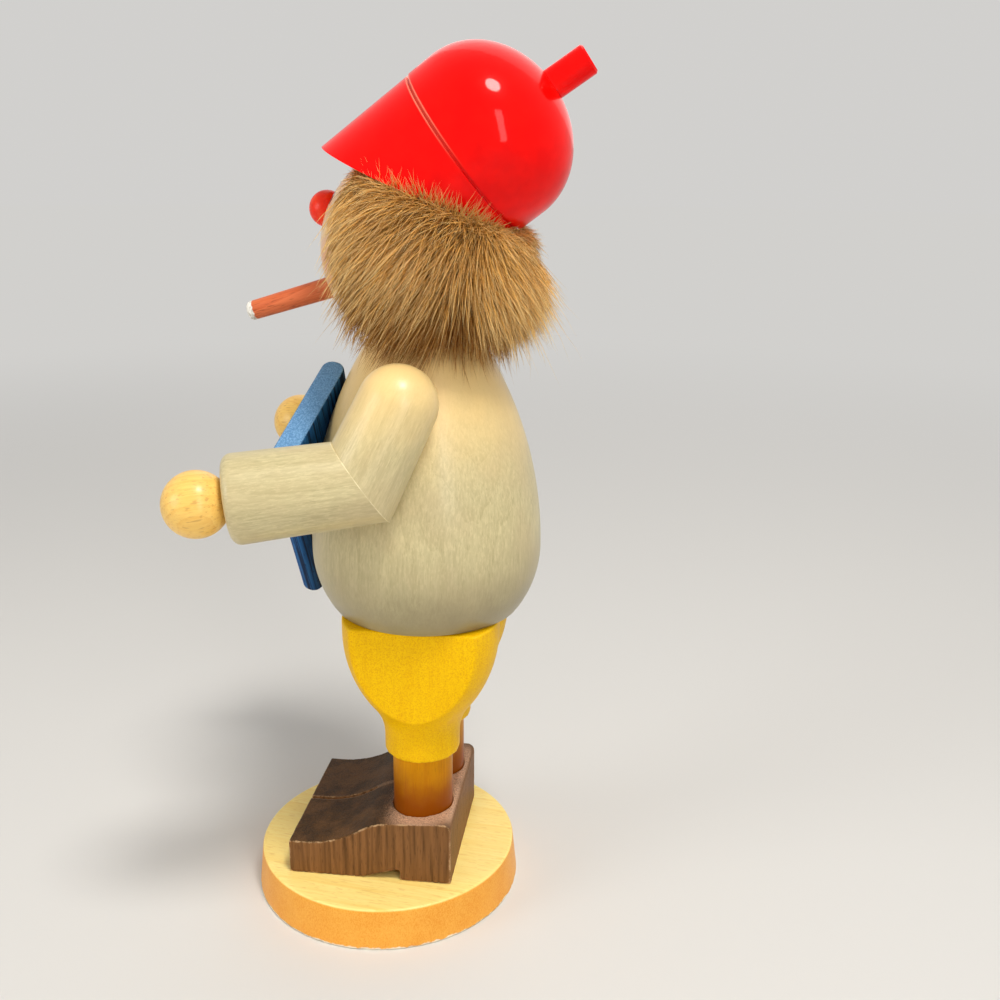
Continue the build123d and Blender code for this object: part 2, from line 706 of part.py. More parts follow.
# Arms and hands
coping_blank = torso_blank(seat_gap)
for side_name, side in sides:
    shoulder, elbow, upper_way, fore_way, elbow_cut = arm_frame(side)
    upper_length = (elbow - shoulder).length
    overrun = 2 * elbow_radius
    dowel_start = shoulder_dowel_start(side)

    # Upper arm: round at the shoulder, coped to the torso and sawn at the elbow
    with BuildPart() as upper_arm:
        with BuildSketch(Plane(origin=shoulder, x_dir=upper_way, z_dir=upper_way.cross(Vector(0, 0, 1)))):
            with BuildLine():
                taper = (elbow_radius - shoulder_radius) / upper_length
                arm_end = upper_length + overrun
                RadiusArc((-shoulder_radius, 0), (0, shoulder_radius), shoulder_radius)
                Polyline(
                    (0, shoulder_radius),
                    (arm_end, shoulder_radius + taper * arm_end),
                    (arm_end, 0),
                    (-shoulder_radius, 0),
                )
            make_face()
        revolve(axis=Axis(shoulder, upper_way))
        split(bisect_by=elbow_cut, keep=Keep.BOTTOM)
        add(coping_blank, mode=Mode.SUBTRACT)
        with Locations(elbow_cut):
            Hole(elbow_dowel_radius + glue_gap, elbow_dowel_depth + dowel_end_gap)
        with BuildSketch(Plane(origin=dowel_start, z_dir=(side, 0, 0))):
            Circle(shoulder_dowel_radius + glue_gap)
        extrude(
            amount=shoulder_dowel_in_torso + shoulder_dowel_in_arm + dowel_end_gap,
            mode=Mode.SUBTRACT,
        )
    save(upper_arm.part, f"upper_arm_{side_name}")

    # Forearm: the thicker half of the same dowel, rounded at the cuff and coped beside the belly
    cuff_center = elbow + fore_way * forearm_length
    cuff_plane = Plane(origin=cuff_center, z_dir=fore_way)
    with BuildPart() as forearm:
        with BuildSketch(Plane(origin=elbow, x_dir=fore_way, z_dir=fore_way.cross(Vector(1, 0, 0)))):
            with BuildLine():
                taper = (cuff_radius - elbow_radius) / forearm_length
                Polyline(
                    (-overrun, 0),
                    (-overrun, elbow_radius - taper * overrun),
                    (forearm_length, cuff_radius),
                    (forearm_length, 0),
                    close=True,
                )
            make_face()
        revolve(axis=Axis(elbow, fore_way))
        cuff_edges = forearm.edges().filter_by(GeomType.CIRCLE).group_by(Axis(elbow, fore_way))[-1]
        fillet(cuff_edges, cuff_edge_radius)
        split(bisect_by=elbow_cut, keep=Keep.TOP)
        add(coping_blank, mode=Mode.SUBTRACT)
        with Locations(Plane(origin=elbow, z_dir=-elbow_cut.z_dir)):
            Hole(elbow_dowel_radius + glue_gap, elbow_dowel_depth + dowel_end_gap)
        with Locations(cuff_plane):
            Hole(hand_peg_radius + glue_gap, hand_peg_length + dowel_end_gap)
    save(forearm.part, f"forearm_{side_name}")

    # Hand: a ball with a flat for the cuff and a turned peg
    with BuildPart() as hand:
        with Locations(cuff_plane.offset(hand_flat_distance)):
            Sphere(hand_radius)
        split(bisect_by=cuff_plane, keep=Keep.TOP)
        with BuildSketch(cuff_plane):
            Circle(hand_peg_radius)
        extrude(amount=-hand_peg_length)
    save(hand.part, f"hand_{side_name}")

    elbow_dowel_foot = elbow - elbow_cut.z_dir * elbow_dowel_depth
    elbow_dowel = straight_dowel(
        elbow_dowel_foot, elbow_cut.z_dir, 2 * elbow_dowel_depth, elbow_dowel_radius
    )
    save(elbow_dowel, f"elbow_dowel_{side_name}")

    shoulder_dowel = straight_dowel(
        dowel_start,
        (side, 0, 0),
        shoulder_dowel_in_torso + shoulder_dowel_in_arm,
        shoulder_dowel_radius,
    )
    save(shoulder_dowel, f"shoulder_dowel_{side_name}")

# Board: a flat slab with softly rounded edges, glued to its flat on the belly
with BuildPart() as blue_board:
    with BuildSketch(board_plane):
        RectangleRounded(board_width, board_length, board_corner_radius)
    extrude(amount=board_thickness)
    board_rims = blue_board.faces().filter_by(board_plane)
    fillet(board_rims.edges(), board_edge_radius)
    with Locations(Plane(origin=board_seat.origin + board_out * seat_gap, z_dir=-board_out)):
        Hole(board_peg_radius + glue_gap, board_peg_in_board + dowel_end_gap)
save(blue_board.part, "blue_board")

board_peg_foot = board_seat.origin - board_out * board_peg_in_torso
board_peg = straight_dowel(
    board_peg_foot, board_out, board_peg_in_torso + board_peg_in_board, board_peg_radius
)
save(board_peg, "board_peg")
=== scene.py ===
"""Looks of a turned wooden incense smoker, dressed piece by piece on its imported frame.

Metres, +Z up, the figure faces -Y and its left arm is on the +X side. Sizes are written in millimetres
and brought to metres where a mesh is made; patterns are worked out in millimetres too.
"""

from math import asin, atan2, cos, pi, radians, sin, sqrt

import bmesh
import bpy
import numpy as np
from mathutils import Matrix, Vector, noise


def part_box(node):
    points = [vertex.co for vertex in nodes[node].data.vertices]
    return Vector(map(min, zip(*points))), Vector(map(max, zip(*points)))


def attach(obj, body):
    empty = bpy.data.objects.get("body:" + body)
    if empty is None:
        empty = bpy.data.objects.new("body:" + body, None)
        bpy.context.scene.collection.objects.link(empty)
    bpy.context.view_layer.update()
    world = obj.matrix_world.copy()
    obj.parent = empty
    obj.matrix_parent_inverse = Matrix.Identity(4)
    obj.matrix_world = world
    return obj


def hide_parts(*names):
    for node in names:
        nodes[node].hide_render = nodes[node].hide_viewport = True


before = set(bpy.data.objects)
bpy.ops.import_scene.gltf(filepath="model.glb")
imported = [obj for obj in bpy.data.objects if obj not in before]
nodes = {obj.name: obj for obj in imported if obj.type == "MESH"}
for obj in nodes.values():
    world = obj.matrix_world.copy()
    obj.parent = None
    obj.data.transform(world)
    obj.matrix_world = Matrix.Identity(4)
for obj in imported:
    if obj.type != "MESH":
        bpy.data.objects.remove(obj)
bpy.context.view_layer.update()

# Base disc
# A round of pale beech, turned with a slight flare and clear lacquered.
# Its lower edge is rubbed bare and chipped from standing on shelves.
MM = 0.001


class Wire:
    """A socket of a node tree. Python's operators on it add Math nodes, or Vector Math on a vector."""

    def __init__(self, tree, socket):
        self.tree = tree
        self.socket = socket

    def node(self, kind, settings=None, inputs=None, out=0):
        """Add a node, apply its settings, then give its sockets values or links; returns one output."""
        made = self.tree.nodes.new(kind)
        for name, value in (settings or {}).items():
            setattr(made, name, value)
        for name, value in (inputs or {}).items():
            if isinstance(value, Wire):
                self.tree.links.new(value.socket, made.inputs[name])
            else:
                made.inputs[name].default_value = value
        return Wire(self.tree, made.outputs[out])

    def outputs(self):
        """All outputs of the node that this socket belongs to."""
        return [Wire(self.tree, socket) for socket in self.socket.node.outputs]

    def is_vector(self):
        return self.socket.type == "VECTOR"

    def math(self, operation, other=0.0, swapped=False):
        """One Math or Vector Math node on this socket and another socket or number."""
        if isinstance(other, Wire) and other.is_vector() and not self.is_vector():
            return other.math(operation, self, not swapped)
        plain = isinstance(other, (int, float)) or isinstance(other, Wire) and not other.is_vector()
        if self.is_vector() and plain and operation == "MULTIPLY":
            return self.node("ShaderNodeVectorMath", {"operation": "SCALE"}, {0: self, "Scale": other})
        kind = "ShaderNodeVectorMath" if self.is_vector() else "ShaderNodeMath"
        first, second = (other, self) if swapped else (self, other)
        return self.node(kind, {"operation": operation}, {0: first, 1: second})

    def __add__(self, other):
        return self.math("ADD", other)

    def __radd__(self, other):
        return self.math("ADD", other, True)

    def __sub__(self, other):
        return self.math("SUBTRACT", other)

    def __rsub__(self, other):
        return self.math("SUBTRACT", other, True)

    def __mul__(self, other):
        return self.math("MULTIPLY", other)

    def __rmul__(self, other):
        return self.math("MULTIPLY", other, True)

    def __truediv__(self, other):
        return self.math("DIVIDE", other)

    def __pow__(self, other):
        return self.math("POWER", other)

    def step(self, low, high):
        """Smooth rise from 0 to 1 between two values."""
        return self.node(
            "ShaderNodeMapRange",
            {"interpolation_type": "SMOOTHSTEP"},
            {"Value": self, "From Min": low, "From Max": high},
        )

    def length(self):
        return self.node("ShaderNodeVectorMath", {"operation": "LENGTH"}, {0: self}, out=1)

    def parts(self):
        """The three numbers of a vector."""
        return self.node("ShaderNodeSeparateXYZ", None, {0: self}).outputs()

    def off_axis(self):
        """Distance from the Z axis."""
        x, y, _ = self.parts()
        return (x * x + y * y) ** 0.5


class Finish:
    """A material under way: its shader, and where on the piece it is."""

    def __init__(self, name):
        self.material = bpy.data.materials.new(name)
        self.material.use_nodes = True
        self.tree = self.material.node_tree
        self.shader = self.tree.nodes["Principled BSDF"]
        coordinates = self.tree.nodes.new("ShaderNodeTexCoord")
        self.place = Wire(self.tree, coordinates.outputs["Object"])
        self.facing = Wire(self.tree, coordinates.outputs["Normal"])

    def along(self, grain=(0, 0, 1), start_mm=(0, 0, 0)):
        """Place in millimetres from a start point, turned so that the grain runs along Z."""
        turn = Vector(grain).rotation_difference(Vector((0, 0, 1)))
        return self.place.node(
            "ShaderNodeMapping",
            None,
            {
                "Vector": self.place,
                "Location": -(turn @ Vector(start_mm)),
                "Rotation": turn.to_euler(),
                "Scale": (1 / MM, 1 / MM, 1 / MM),
            },
        )

    def set(self, **sockets):
        """Link or set the shader's sockets, named with _ for a space."""
        for name, value in sockets.items():
            socket = self.shader.inputs[name.replace("_", " ")]
            if isinstance(value, Wire):
                self.tree.links.new(value.socket, socket)
            else:
                socket.default_value = value

    def stored(self, label):
        """A number that the mesh keeps on its points."""
        return self.place.node("ShaderNodeAttribute", {"attribute_name": label}, None, out=2)

    def relief(self, height, depth_mm, strength):
        """Fine surface relief from a height of 0 to 1."""
        bump = height.node(
            "ShaderNodeBump", None, {"Height": height, "Distance": depth_mm * MM, "Strength": strength}
        )
        self.set(Normal=bump)


def paint(red, green, blue):
    """A colour as a screen shows it, 0 to 255, as the shader's linear colour."""
    return tuple(((c / 255 + 0.055) / 1.055) ** 2.4 for c in (red, green, blue)) + (1.0,)


def blend(amount, first, second):
    """The colour that lies this far from the first to the second."""
    return amount.node("ShaderNodeMix", {"data_type": "RGBA"}, {0: amount, 6: first, 7: second}, out=2)


def mottle(place, per_mm, detail=2.0, rough=0.5):
    """Soft noise from 0 to 1 with so many blotches per millimetre."""
    inputs = {"Vector": place, "Scale": per_mm, "Detail": detail, "Roughness": rough}
    return place.node("ShaderNodeTexNoise", None, inputs)


def wood(spot, pale, deep, pore, ring_mm, ring_share, fibre_share, pore_share):
    """Colour and height of wood whose grain runs along Z: rings round Z, long fibres, short pores."""
    drift = mottle(spot * Vector((1, 1, 0.12)), per_mm=0.09)
    radius = spot.off_axis() + drift * (2.2 * ring_mm)
    late = (radius * (1 / ring_mm)).math("FRACT") ** 2.5
    fibre = mottle(spot * Vector((1, 1, 0.05)), per_mm=1.5, detail=4.0, rough=0.65).step(0.3, 0.7)
    pores = mottle(spot * Vector((1, 1, 0.13)), per_mm=2.6, detail=1.0).step(0.60, 0.70)
    tone = (late * ring_share + fibre * fibre_share) * (1 / (ring_share + fibre_share))
    colour = blend(pores * pore_share, blend(tone, pale, deep), pore)
    height = 1 - pores * 0.6 - fibre * 0.4
    return colour, height


def new_piece(name, mesh, material):
    """A finished mesh as an object at the origin, with one material."""
    mesh.materials.clear()
    mesh.materials.append(material)
    made = bpy.data.objects.new(name, mesh)
    bpy.context.scene.collection.objects.link(made)
    return made


def dress(node, finish):
    """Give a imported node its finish."""
    nodes[node].material_slots[0].material = finish.material


def smooth_faces(mesh):
    """Shade every face of a mesh smooth."""
    mesh.polygons.foreach_set("use_smooth", [True] * len(mesh.polygons))


def turned_mesh(name, profile_mm, turns):
    """A closed lathe mesh about Z from (radius, height) points that start and end on the axis."""
    mesh = bpy.data.meshes.new(name)
    points = []
    faces = []
    rings = profile_mm[1:-1]
    for radius, height in rings:
        for step in range(turns):
            angle = 2 * pi * step / turns
            points.append((radius * cos(angle) * MM, radius * sin(angle) * MM, height * MM))
    for row in range(len(rings) - 1):
        for step in range(turns):
            after = (step + 1) % turns
            low = row * turns
            high = low + turns
            faces.append((low + step, low + after, high + after, high + step))
    last_row = (len(rings) - 1) * turns
    low_pole = len(points)
    points.append((0, 0, profile_mm[0][1] * MM))
    points.append((0, 0, profile_mm[-1][1] * MM))
    for step in range(turns):
        after = (step + 1) % turns
        faces.append((low_pole, after, step))
        faces.append((low_pole + 1, last_row + step, last_row + after))
    mesh.from_pydata(points, [], faces)
    smooth_faces(mesh)
    return mesh


_, base_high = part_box("base_disc")
base_height = base_high.z / MM
base_foot_radius = base_high.x / MM
base_top_radius = 36.05
base_edge = 0.8
base_turns = 320
base_foot_rings = 6
base_edge_steps = 7
base_wall_steps = 22
base_top_rings = 31


def base_profile():
    """Lathe outline of the base disc: flat foot, rounded edges, flared wall, flat top."""
    foot_flat = base_foot_radius - base_edge
    top_flat = base_top_radius - base_edge
    wall_top = base_height - base_edge
    bends = [radians(90 * step / (base_edge_steps - 1)) for step in range(base_edge_steps)]
    outline = [(foot_flat * ring / base_foot_rings, 0) for ring in range(base_foot_rings)]
    outline += [(foot_flat + base_edge * sin(bend), base_edge - base_edge * cos(bend)) for bend in bends]
    for step in range(1, base_wall_steps):
        share = step / base_wall_steps
        reach = base_foot_radius + (base_top_radius - base_foot_radius) * share
        outline.append((reach, base_edge + (wall_top - base_edge) * share))
    outline += [(top_flat + base_edge * cos(bend), wall_top + base_edge * sin(bend)) for bend in bends]
    top_shares = [ring / base_top_rings for ring in reversed(range(base_top_rings))]
    outline += [(top_flat * share, base_height) for share in top_shares]
    return outline


base_mesh = turned_mesh("base_disc_turned", base_profile(), base_turns)
chip_depth_mm = 0.55
chip_height_mm = 1.9
chips_per_mm = 0.55
crumbs_per_mm = 1.6
crumb_share = 0.6
chip_from = 0.12
foot_clear_mm = 0.01
for vertex in base_mesh.vertices:
    spot = vertex.co / MM
    reach = sqrt(spot.x**2 + spot.y**2)
    if reach < base_top_radius or not foot_clear_mm <= spot.z <= chip_height_mm:
        continue
    rough = noise.noise(spot * chips_per_mm) + crumb_share * noise.noise(spot * crumbs_per_mm)
    depth = chip_depth_mm * max(0, rough - chip_from) * (1 - spot.z / chip_height_mm)
    vertex.co.x *= 1 - depth / reach
    vertex.co.y *= 1 - depth / reach

base_finish = Finish("pale_beech_lacquered")
base_spot = base_finish.along(grain=(0.12, 1, 0), start_mm=(6, 0, -46))
base_colour, base_height_map = wood(
    base_spot, paint(255, 232, 146), paint(248, 212, 116), paint(222, 170, 88),
    ring_mm=2.6, ring_share=0.45, fibre_share=0.5, pore_share=0.35,
)
base_mm = base_finish.along()
base_up = base_finish.facing.parts()[2].math("ABSOLUTE")
base_wall = 1 - base_up.step(0.3, 0.75)
wall_grain = mottle(base_mm * Vector((1, 1, 0.6)), per_mm=3.0, detail=3.0, rough=0.7)
wall_cloud = mottle(base_mm, per_mm=0.12)
wall_tone = wall_grain.step(0.32, 0.7) * 0.75 + wall_cloud.step(0.3, 0.7) * 0.25
wall_colour = blend(wall_tone, paint(250, 184, 78), paint(236, 150, 42))
base_rise = base_mm.parts()[2]
rub = mottle(base_mm, per_mm=0.45) * 1.8 - base_rise
bare = rub.step(-0.05, 0.35) * (1 - base_rise.step(1.7, 2.1))
base_finish.set(
    Base_Color=blend(bare, blend(base_wall, base_colour, wall_colour), paint(253, 242, 216)),
    Roughness=0.36 + bare * 0.4 + wall_grain * 0.1,
    Specular_IOR_Level=0.2,
    Coat_Weight=0.12,
    Coat_Roughness=0.25,
)
base_finish.relief(base_height_map, depth_mm=0.03, strength=0.6)
base_piece = new_piece("base_disc_turned", base_mesh, base_finish.material)
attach(base_piece, "stand")
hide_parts("base_disc")

# Shoe block
# Both shoes are sawn from one block and stained dark brown; the saw left upright ribs on the sides.
# Handling has rubbed the stain off the edges, and the pale edges also carry a painted highlight. Two
# hidden dowels hold the block to the base.
weld_mm = 0.002
shoe_voxel_mm = 0.36
edge_reach = 4
full_edge_mm = 0.3
rib_pitch_mm = 2.0
rib_depth_mm = 0.3
side_facing = 0.6


def middle_mm(node):
    """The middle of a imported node's box, in millimetres."""
    low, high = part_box(node)
    return (low + high) / 2 / MM


def finished_mesh(holder, name):
    """What an object's modifiers make, as a plain mesh with smooth faces."""
    made = bpy.data.meshes.new_from_object(holder.evaluated_get(bpy.context.evaluated_depsgraph_get()))
    made.name = name
    smooth_faces(made)
    return made


def remeshed_copy(node, name, voxel_mm):
    """An even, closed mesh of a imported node, fine enough to be shaped further."""
    source = nodes[node].data.copy()
    shape = bmesh.new()
    shape.from_mesh(source)
    bmesh.ops.remove_doubles(shape, verts=shape.verts, dist=weld_mm * MM)
    shape.to_mesh(source)
    shape.free()
    holder = bpy.data.objects.new(name, source)
    bpy.context.scene.collection.objects.link(holder)
    remesh = holder.modifiers.new("even", "REMESH")
    remesh.mode = "VOXEL"
    remesh.voxel_size = voxel_mm * MM
    made = finished_mesh(holder, name)
    bpy.data.objects.remove(holder)
    bpy.data.meshes.remove(source)
    return made


def point_rows(mesh, label):
    """The places ("co") or normals ("normal") of a mesh's points, a row of three numbers for each."""
    values = np.empty(len(mesh.vertices) * 3)
    mesh.vertices.foreach_get(label, values)
    return values.reshape(-1, 3)


def keep_on_points(mesh, label, values):
    """Store one number for each point of a mesh."""
    mesh.attributes.new(label, "FLOAT", "POINT").data.foreach_set("value", values)


def edge_wear_and_sheen(mesh):
    """Store in "wear" how far each point lies on an outer edge, from its neighbours a few steps away."""
    edges = np.empty(len(mesh.edges) * 2, np.int64)
    mesh.edges.foreach_get("vertices", edges)
    start, end = edges.reshape(-1, 2).T
    places = point_rows(mesh, "co")
    links = np.bincount(edges, minlength=len(places))
    smooth = places.copy()
    for _ in range(edge_reach):
        total = np.zeros_like(smooth)
        np.add.at(total, start, smooth[end])
        np.add.at(total, end, smooth[start])
        smooth = total / np.maximum(links, 1)[:, None]
    bulge_mm = ((places - smooth) * point_rows(mesh, "normal")).sum(1) / MM
    keep_on_points(mesh, "wear_and_sheen", np.clip(bulge_mm / full_edge_mm, 0, 1).astype(np.float32))


def saw_noise(spot, along_per_mm, up_per_mm, layer):
    """Noise over a sawn side of the shoes, by its blotches per millimetre along the shoe and up it."""
    return noise.noise(Vector((spot.y * along_per_mm, spot.z * up_per_mm, layer)))


def saw_ribs(mesh):
    """Press ribs into the two sides and dents into the rest; store in "groove" how deep a rib is."""
    places = point_rows(mesh, "co")
    grooves = np.zeros(len(places), np.float32)
    for index, (place, normal) in enumerate(zip(places / MM, point_rows(mesh, "normal"))):
        spot = Vector(place)
        if abs(normal[0]) > side_facing:
            wobble = 0.6 * saw_noise(spot, 0.35, 0.05, layer=3.7)
            rib = 0.5 + 0.5 * sin(2 * pi * (spot.y / rib_pitch_mm + wobble))
            strength = 0.6 + 0.6 * saw_noise(spot, 0.22, 0.10, layer=9.1)
            grooves[index] = max(0, strength) * rib**3
            places[index, 0] -= np.sign(normal[0]) * rib_depth_mm * MM * grooves[index]
        else:
            dent_mm = 0.06 + 0.05 * noise.noise(spot * 0.5) + 0.03 * noise.noise(spot * 1.4)
            places[index] -= normal * dent_mm * MM
    mesh.vertices.foreach_set("co", places.ravel())
    keep_on_points(mesh, "groove", grooves)


shoe_mesh = remeshed_copy("shoe_block", "shoe_block_sawn", shoe_voxel_mm)
edge_wear_and_sheen(shoe_mesh)
saw_ribs(shoe_mesh)

shoe_finish = Finish("brown_stain_rubbed")
shoe_mm = shoe_finish.along()
shoe_spot = shoe_finish.along(start_mm=(0, -60, 0))
shoe_colour, shoe_height_map = wood(
    shoe_spot, paint(140, 97, 58), paint(112, 76, 43), paint(74, 48, 24),
    ring_mm=2.7, ring_share=0.35, fibre_share=0.65, pore_share=0.4,
)
# Painted shade: the rib grooves are coloured darker by their depth
shoe_side = blend(shoe_finish.stored("groove") * 0.75, shoe_colour, paint(66, 44, 22))
shoe_up = shoe_finish.facing.parts()[2].step(0.3, 0.8)
shoe_speck = mottle(shoe_mm, per_mm=2.6, detail=3.0, rough=0.75)
shoe_cloud = mottle(shoe_mm, per_mm=0.16, detail=3.0)
shoe_top_tone = shoe_speck.step(0.35, 0.7) * 0.6 + shoe_cloud.step(0.35, 0.65) * 0.4
shoe_top = blend(shoe_top_tone, paint(36, 23, 4), paint(102, 70, 38))
shoe_x, shoe_y, _ = shoe_mm.parts()
leg_mm = middle_mm("leg_left")
heel_front_mm = 8
heel_rub_sheen_mm = (13, 19)
from_leg = ((shoe_x.math("ABSOLUTE") - leg_mm.x) ** 2 + (shoe_y - leg_mm.y) ** 2) ** 0.5
# Pale line along the parting between the shoes: partly worn stain, partly a painted highlight on the ridge
ridge = (1 - shoe_x.math("ABSOLUTE").step(0.5, 1.3)) * shoe_speck.step(0.3, 0.6)
shoe_top = blend(ridge * 0.7, shoe_top, paint(150, 116, 86))
# Pale patch on the heel tops round the legs: partly rubbed stain, partly a painted sheen
on_heel = (shoe_y + shoe_speck * 6).step(leg_mm.y - heel_front_mm, leg_mm.y)
heel_rub_and_sheen = (1 - (from_leg + shoe_speck * 5).step(*heel_rub_sheen_mm)) * on_heel
shoe_top = blend(heel_rub_and_sheen * (0.3 + shoe_speck.step(0.3, 0.65) * 0.65), shoe_top, paint(214, 170, 138))
shoe_patch = mottle(shoe_mm, per_mm=0.35).step(0.3, 0.7)
# Pale edges: partly stain rubbed off, partly a painted highlight on them
shoe_rub_and_sheen = shoe_finish.stored("wear_and_sheen") * 1.1 + shoe_speck * 0.7 + shoe_patch * 0.35
shoe_worn_and_sheen = (shoe_rub_and_sheen - 0.7).step(0.3, 0.72)
shoe_finish.set(
    Base_Color=blend(shoe_worn_and_sheen * 0.85, blend(shoe_up, shoe_side, shoe_top), paint(196, 160, 118)),
    Roughness=0.42 + shoe_speck * 0.18,
    Specular_IOR_Level=0.1,
    Coat_Weight=0.02,
    Coat_Roughness=0.3,
)
shoe_finish.relief(shoe_height_map + shoe_speck * 0.5, depth_mm=0.06, strength=0.8)
shoe_piece = new_piece("shoe_block_sawn", shoe_mesh, shoe_finish.material)
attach(shoe_piece, "stand")
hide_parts("shoe_block")

# Legs
# Plain dowels for the stockinged shins, stained amber before they were glued into the shoes.
# They are darker towards the shoe.
leg_dark_mm = (33, 50)
for side in ("left", "right"):
    leg_middle = middle_mm(f"leg_{side}")
    leg_finish = Finish(f"amber_stain_leg_{side}")
    leg_spot = leg_finish.along(start_mm=(leg_middle.x + 14, leg_middle.y + 9, 0))
    leg_colour, leg_height_map = wood(
        leg_spot, paint(226, 158, 4), paint(208, 132, 2), paint(164, 94, 2),
        ring_mm=2.4, ring_share=0.3, fibre_share=0.5, pore_share=0.25,
    )
    leg_rise = leg_spot.parts()[2] + mottle(leg_finish.along(), per_mm=0.35) * 3
    # Darker towards the shoe
    darker_low = 1 - leg_rise.step(*leg_dark_mm)
    leg_finish.set(
        Base_Color=blend(darker_low * 0.95, leg_colour, paint(138, 64, 2)),
        Roughness=0.36,
        Specular_IOR_Level=0.05,
        Coat_Weight=0.08,
        Coat_Roughness=0.2,
    )
    leg_finish.relief(leg_height_map, depth_mm=0.02, strength=0.6)
    dress(f"leg_{side}", leg_finish)

# Trouser legs
# Knee breeches, turned like two bells, then sawn flat where they meet and on the outside, edges sanded.
# Yellow stain under clear lacquer; the sawn flats took it in fine specks, and the edges are paler, partly
# where the stain is thin and partly as a painted highlight.
trouser_voxel_mm = 0.4
trouser_sanding = 2
hem_drop_mm = 0.9
hem_zone_mm = 6.0


def sanded(mesh, passes):
    """Draw each point towards its neighbours a few times, which rounds the sharp edges."""
    shape = bmesh.new()
    shape.from_mesh(mesh)
    for _ in range(passes):
        bmesh.ops.smooth_vert(
            shape, verts=shape.verts, factor=0.5, use_axis_x=True, use_axis_y=True, use_axis_z=True
        )
    shape.to_mesh(mesh)
    shape.free()


def lower_hem(mesh, hem):
    """Draw the lowest stretch of a trouser leg down, so that it covers a little more of the stocking."""
    for vertex in mesh.vertices:
        above_mm = max(0, vertex.co.z - hem) / MM
        vertex.co.z -= hem_drop_mm * MM * max(0, 1 - above_mm / hem_zone_mm)


for side in ("left", "right"):
    trouser_low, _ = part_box(f"trouser_{side}")
    trouser_middle = middle_mm(f"trouser_{side}")
    trouser_mesh = remeshed_copy(f"trouser_{side}", f"trouser_{side}_sanded", trouser_voxel_mm)
    edge_wear_and_sheen(trouser_mesh)
    sanded(trouser_mesh, trouser_sanding)
    lower_hem(trouser_mesh, trouser_low.z)
    trouser_finish = Finish(f"yellow_stain_{side}")
    trouser_spot = trouser_finish.along(start_mm=(trouser_middle.x - 30, trouser_middle.y + 12, 0))
    trouser_colour, trouser_height_map = wood(
        trouser_spot, paint(248, 200, 5), paint(240, 186, 2), paint(218, 154, 1),
        ring_mm=3.2, ring_share=0.3, fibre_share=0.5, pore_share=0.25,
    )
    speck = mottle(trouser_finish.along(), per_mm=2.6, detail=3.0, rough=0.75)
    stained = blend(1 - speck.step(0.32, 0.56), trouser_colour, paint(226, 160, 1))
    stained = blend(speck.step(0.52, 0.75) * 0.4, stained, paint(255, 218, 34))
    # Pale edges: partly thin stain, partly a painted highlight
    trouser_thin_and_sheen = trouser_finish.stored("wear_and_sheen").step(0.3, 1)
    trouser_finish.set(
        Base_Color=blend(trouser_thin_and_sheen * 0.5, stained, paint(255, 224, 70)),
        Roughness=0.38 + speck * 0.1,
        Specular_IOR_Level=0.06,
        Coat_Weight=0.08,
        Coat_Roughness=0.2,
    )
    trouser_finish.relief(trouser_height_map + speck * 0.6, depth_mm=0.03, strength=0.7)
    trouser_piece = new_piece(f"trouser_{side}_sanded", trouser_mesh, trouser_finish.material)
    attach(trouser_piece, "stand")
    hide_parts(f"trouser_{side}")

# Waist plug and hidden dowels
# Bare, unfinished beech: the plug glued across the trouser legs, and every dowel, peg and tube
# that holds the figure together out of sight.
bare_pieces = {
    "waist_plug": (1, 0, 0),
    "shoe_dowels": (0, 0, 1),
    "waist_dowels": (0, 0, 1),
    "neck_tube": (0, 0, 1),
    "cap_dowel": (0, 0.38, 0.92),
    "board_peg": (-0.15, -0.96, 0.21),
    "elbow_dowel_left": (0.12, -0.6, -0.5),
    "elbow_dowel_right": (-0.12, -0.6, -0.5),
    "shoulder_dowel_left": (1, 0, 0),
    "shoulder_dowel_right": (1, 0, 0),
}
for node, grain in bare_pieces.items():
    bare_finish = Finish(f"bare_beech_{node}")
    bare_spot = bare_finish.along(grain=grain, start_mm=(9, 20, 20))
    bare_colour, bare_height_map = wood(
        bare_spot, paint(228, 196, 146), paint(206, 166, 112), paint(160, 112, 66),
        ring_mm=2.4, ring_share=0.5, fibre_share=0.5, pore_share=0.6,
    )
    bare_finish.set(Base_Color=bare_colour, Roughness=0.7)
    bare_finish.relief(bare_height_map, depth_mm=0.06, strength=0.8)
    dress(node, bare_finish)

# Incense plate and tack
# A pressed tin dish with a turned-up rim, tacked to the plug through its middle.
# Burning cones have left soot in the middle and brown tar towards the rim.
plate_middle = middle_mm("incense_plate")
soot_edge_mm = (5, 12)
for node, soot_share, roughness in (("incense_plate", 0.9, 0.34), ("plate_tack", 0.6, 0.42)):
    tin_finish = Finish(f"smoked_tin_{node}")
    tin_spot = tin_finish.along(start_mm=plate_middle)
    blotch = mottle(tin_spot, per_mm=0.35, detail=4.0, rough=0.6)
    soot = (1 - (tin_spot.off_axis() + blotch * 6).step(*soot_edge_mm)) * soot_share
    brushed = mottle(tin_spot * Vector((1, 0.06, 1)), per_mm=3.0)
    tin_colour = blend(brushed, paint(196, 192, 184), paint(168, 164, 156))
    tar = blend(blotch.step(0.4, 0.7) * 0.5, tin_colour, paint(140, 104, 60))
    tin_finish.set(
        Base_Color=blend(soot, tar, paint(36, 30, 26)),
        Metallic=1 - soot * 0.9,
        Roughness=roughness + brushed * 0.12 + soot * 0.35,
    )
    tin_finish.relief(brushed, depth_mm=0.01, strength=0.5)
    dress(node, tin_finish)

# Torso
# The jacket: a turned pear of lime wood under a thin grey-beige wash and satin lacquer.
# The wash lets rings and short pores show and is thinner towards the neck; the warm tint there is partly
# painted warm light, and the darker colour low down is painted shade.
torso_low, torso_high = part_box("torso")
torso_axis_mm = middle_mm("torso")
shaded_mm = (82, 114)


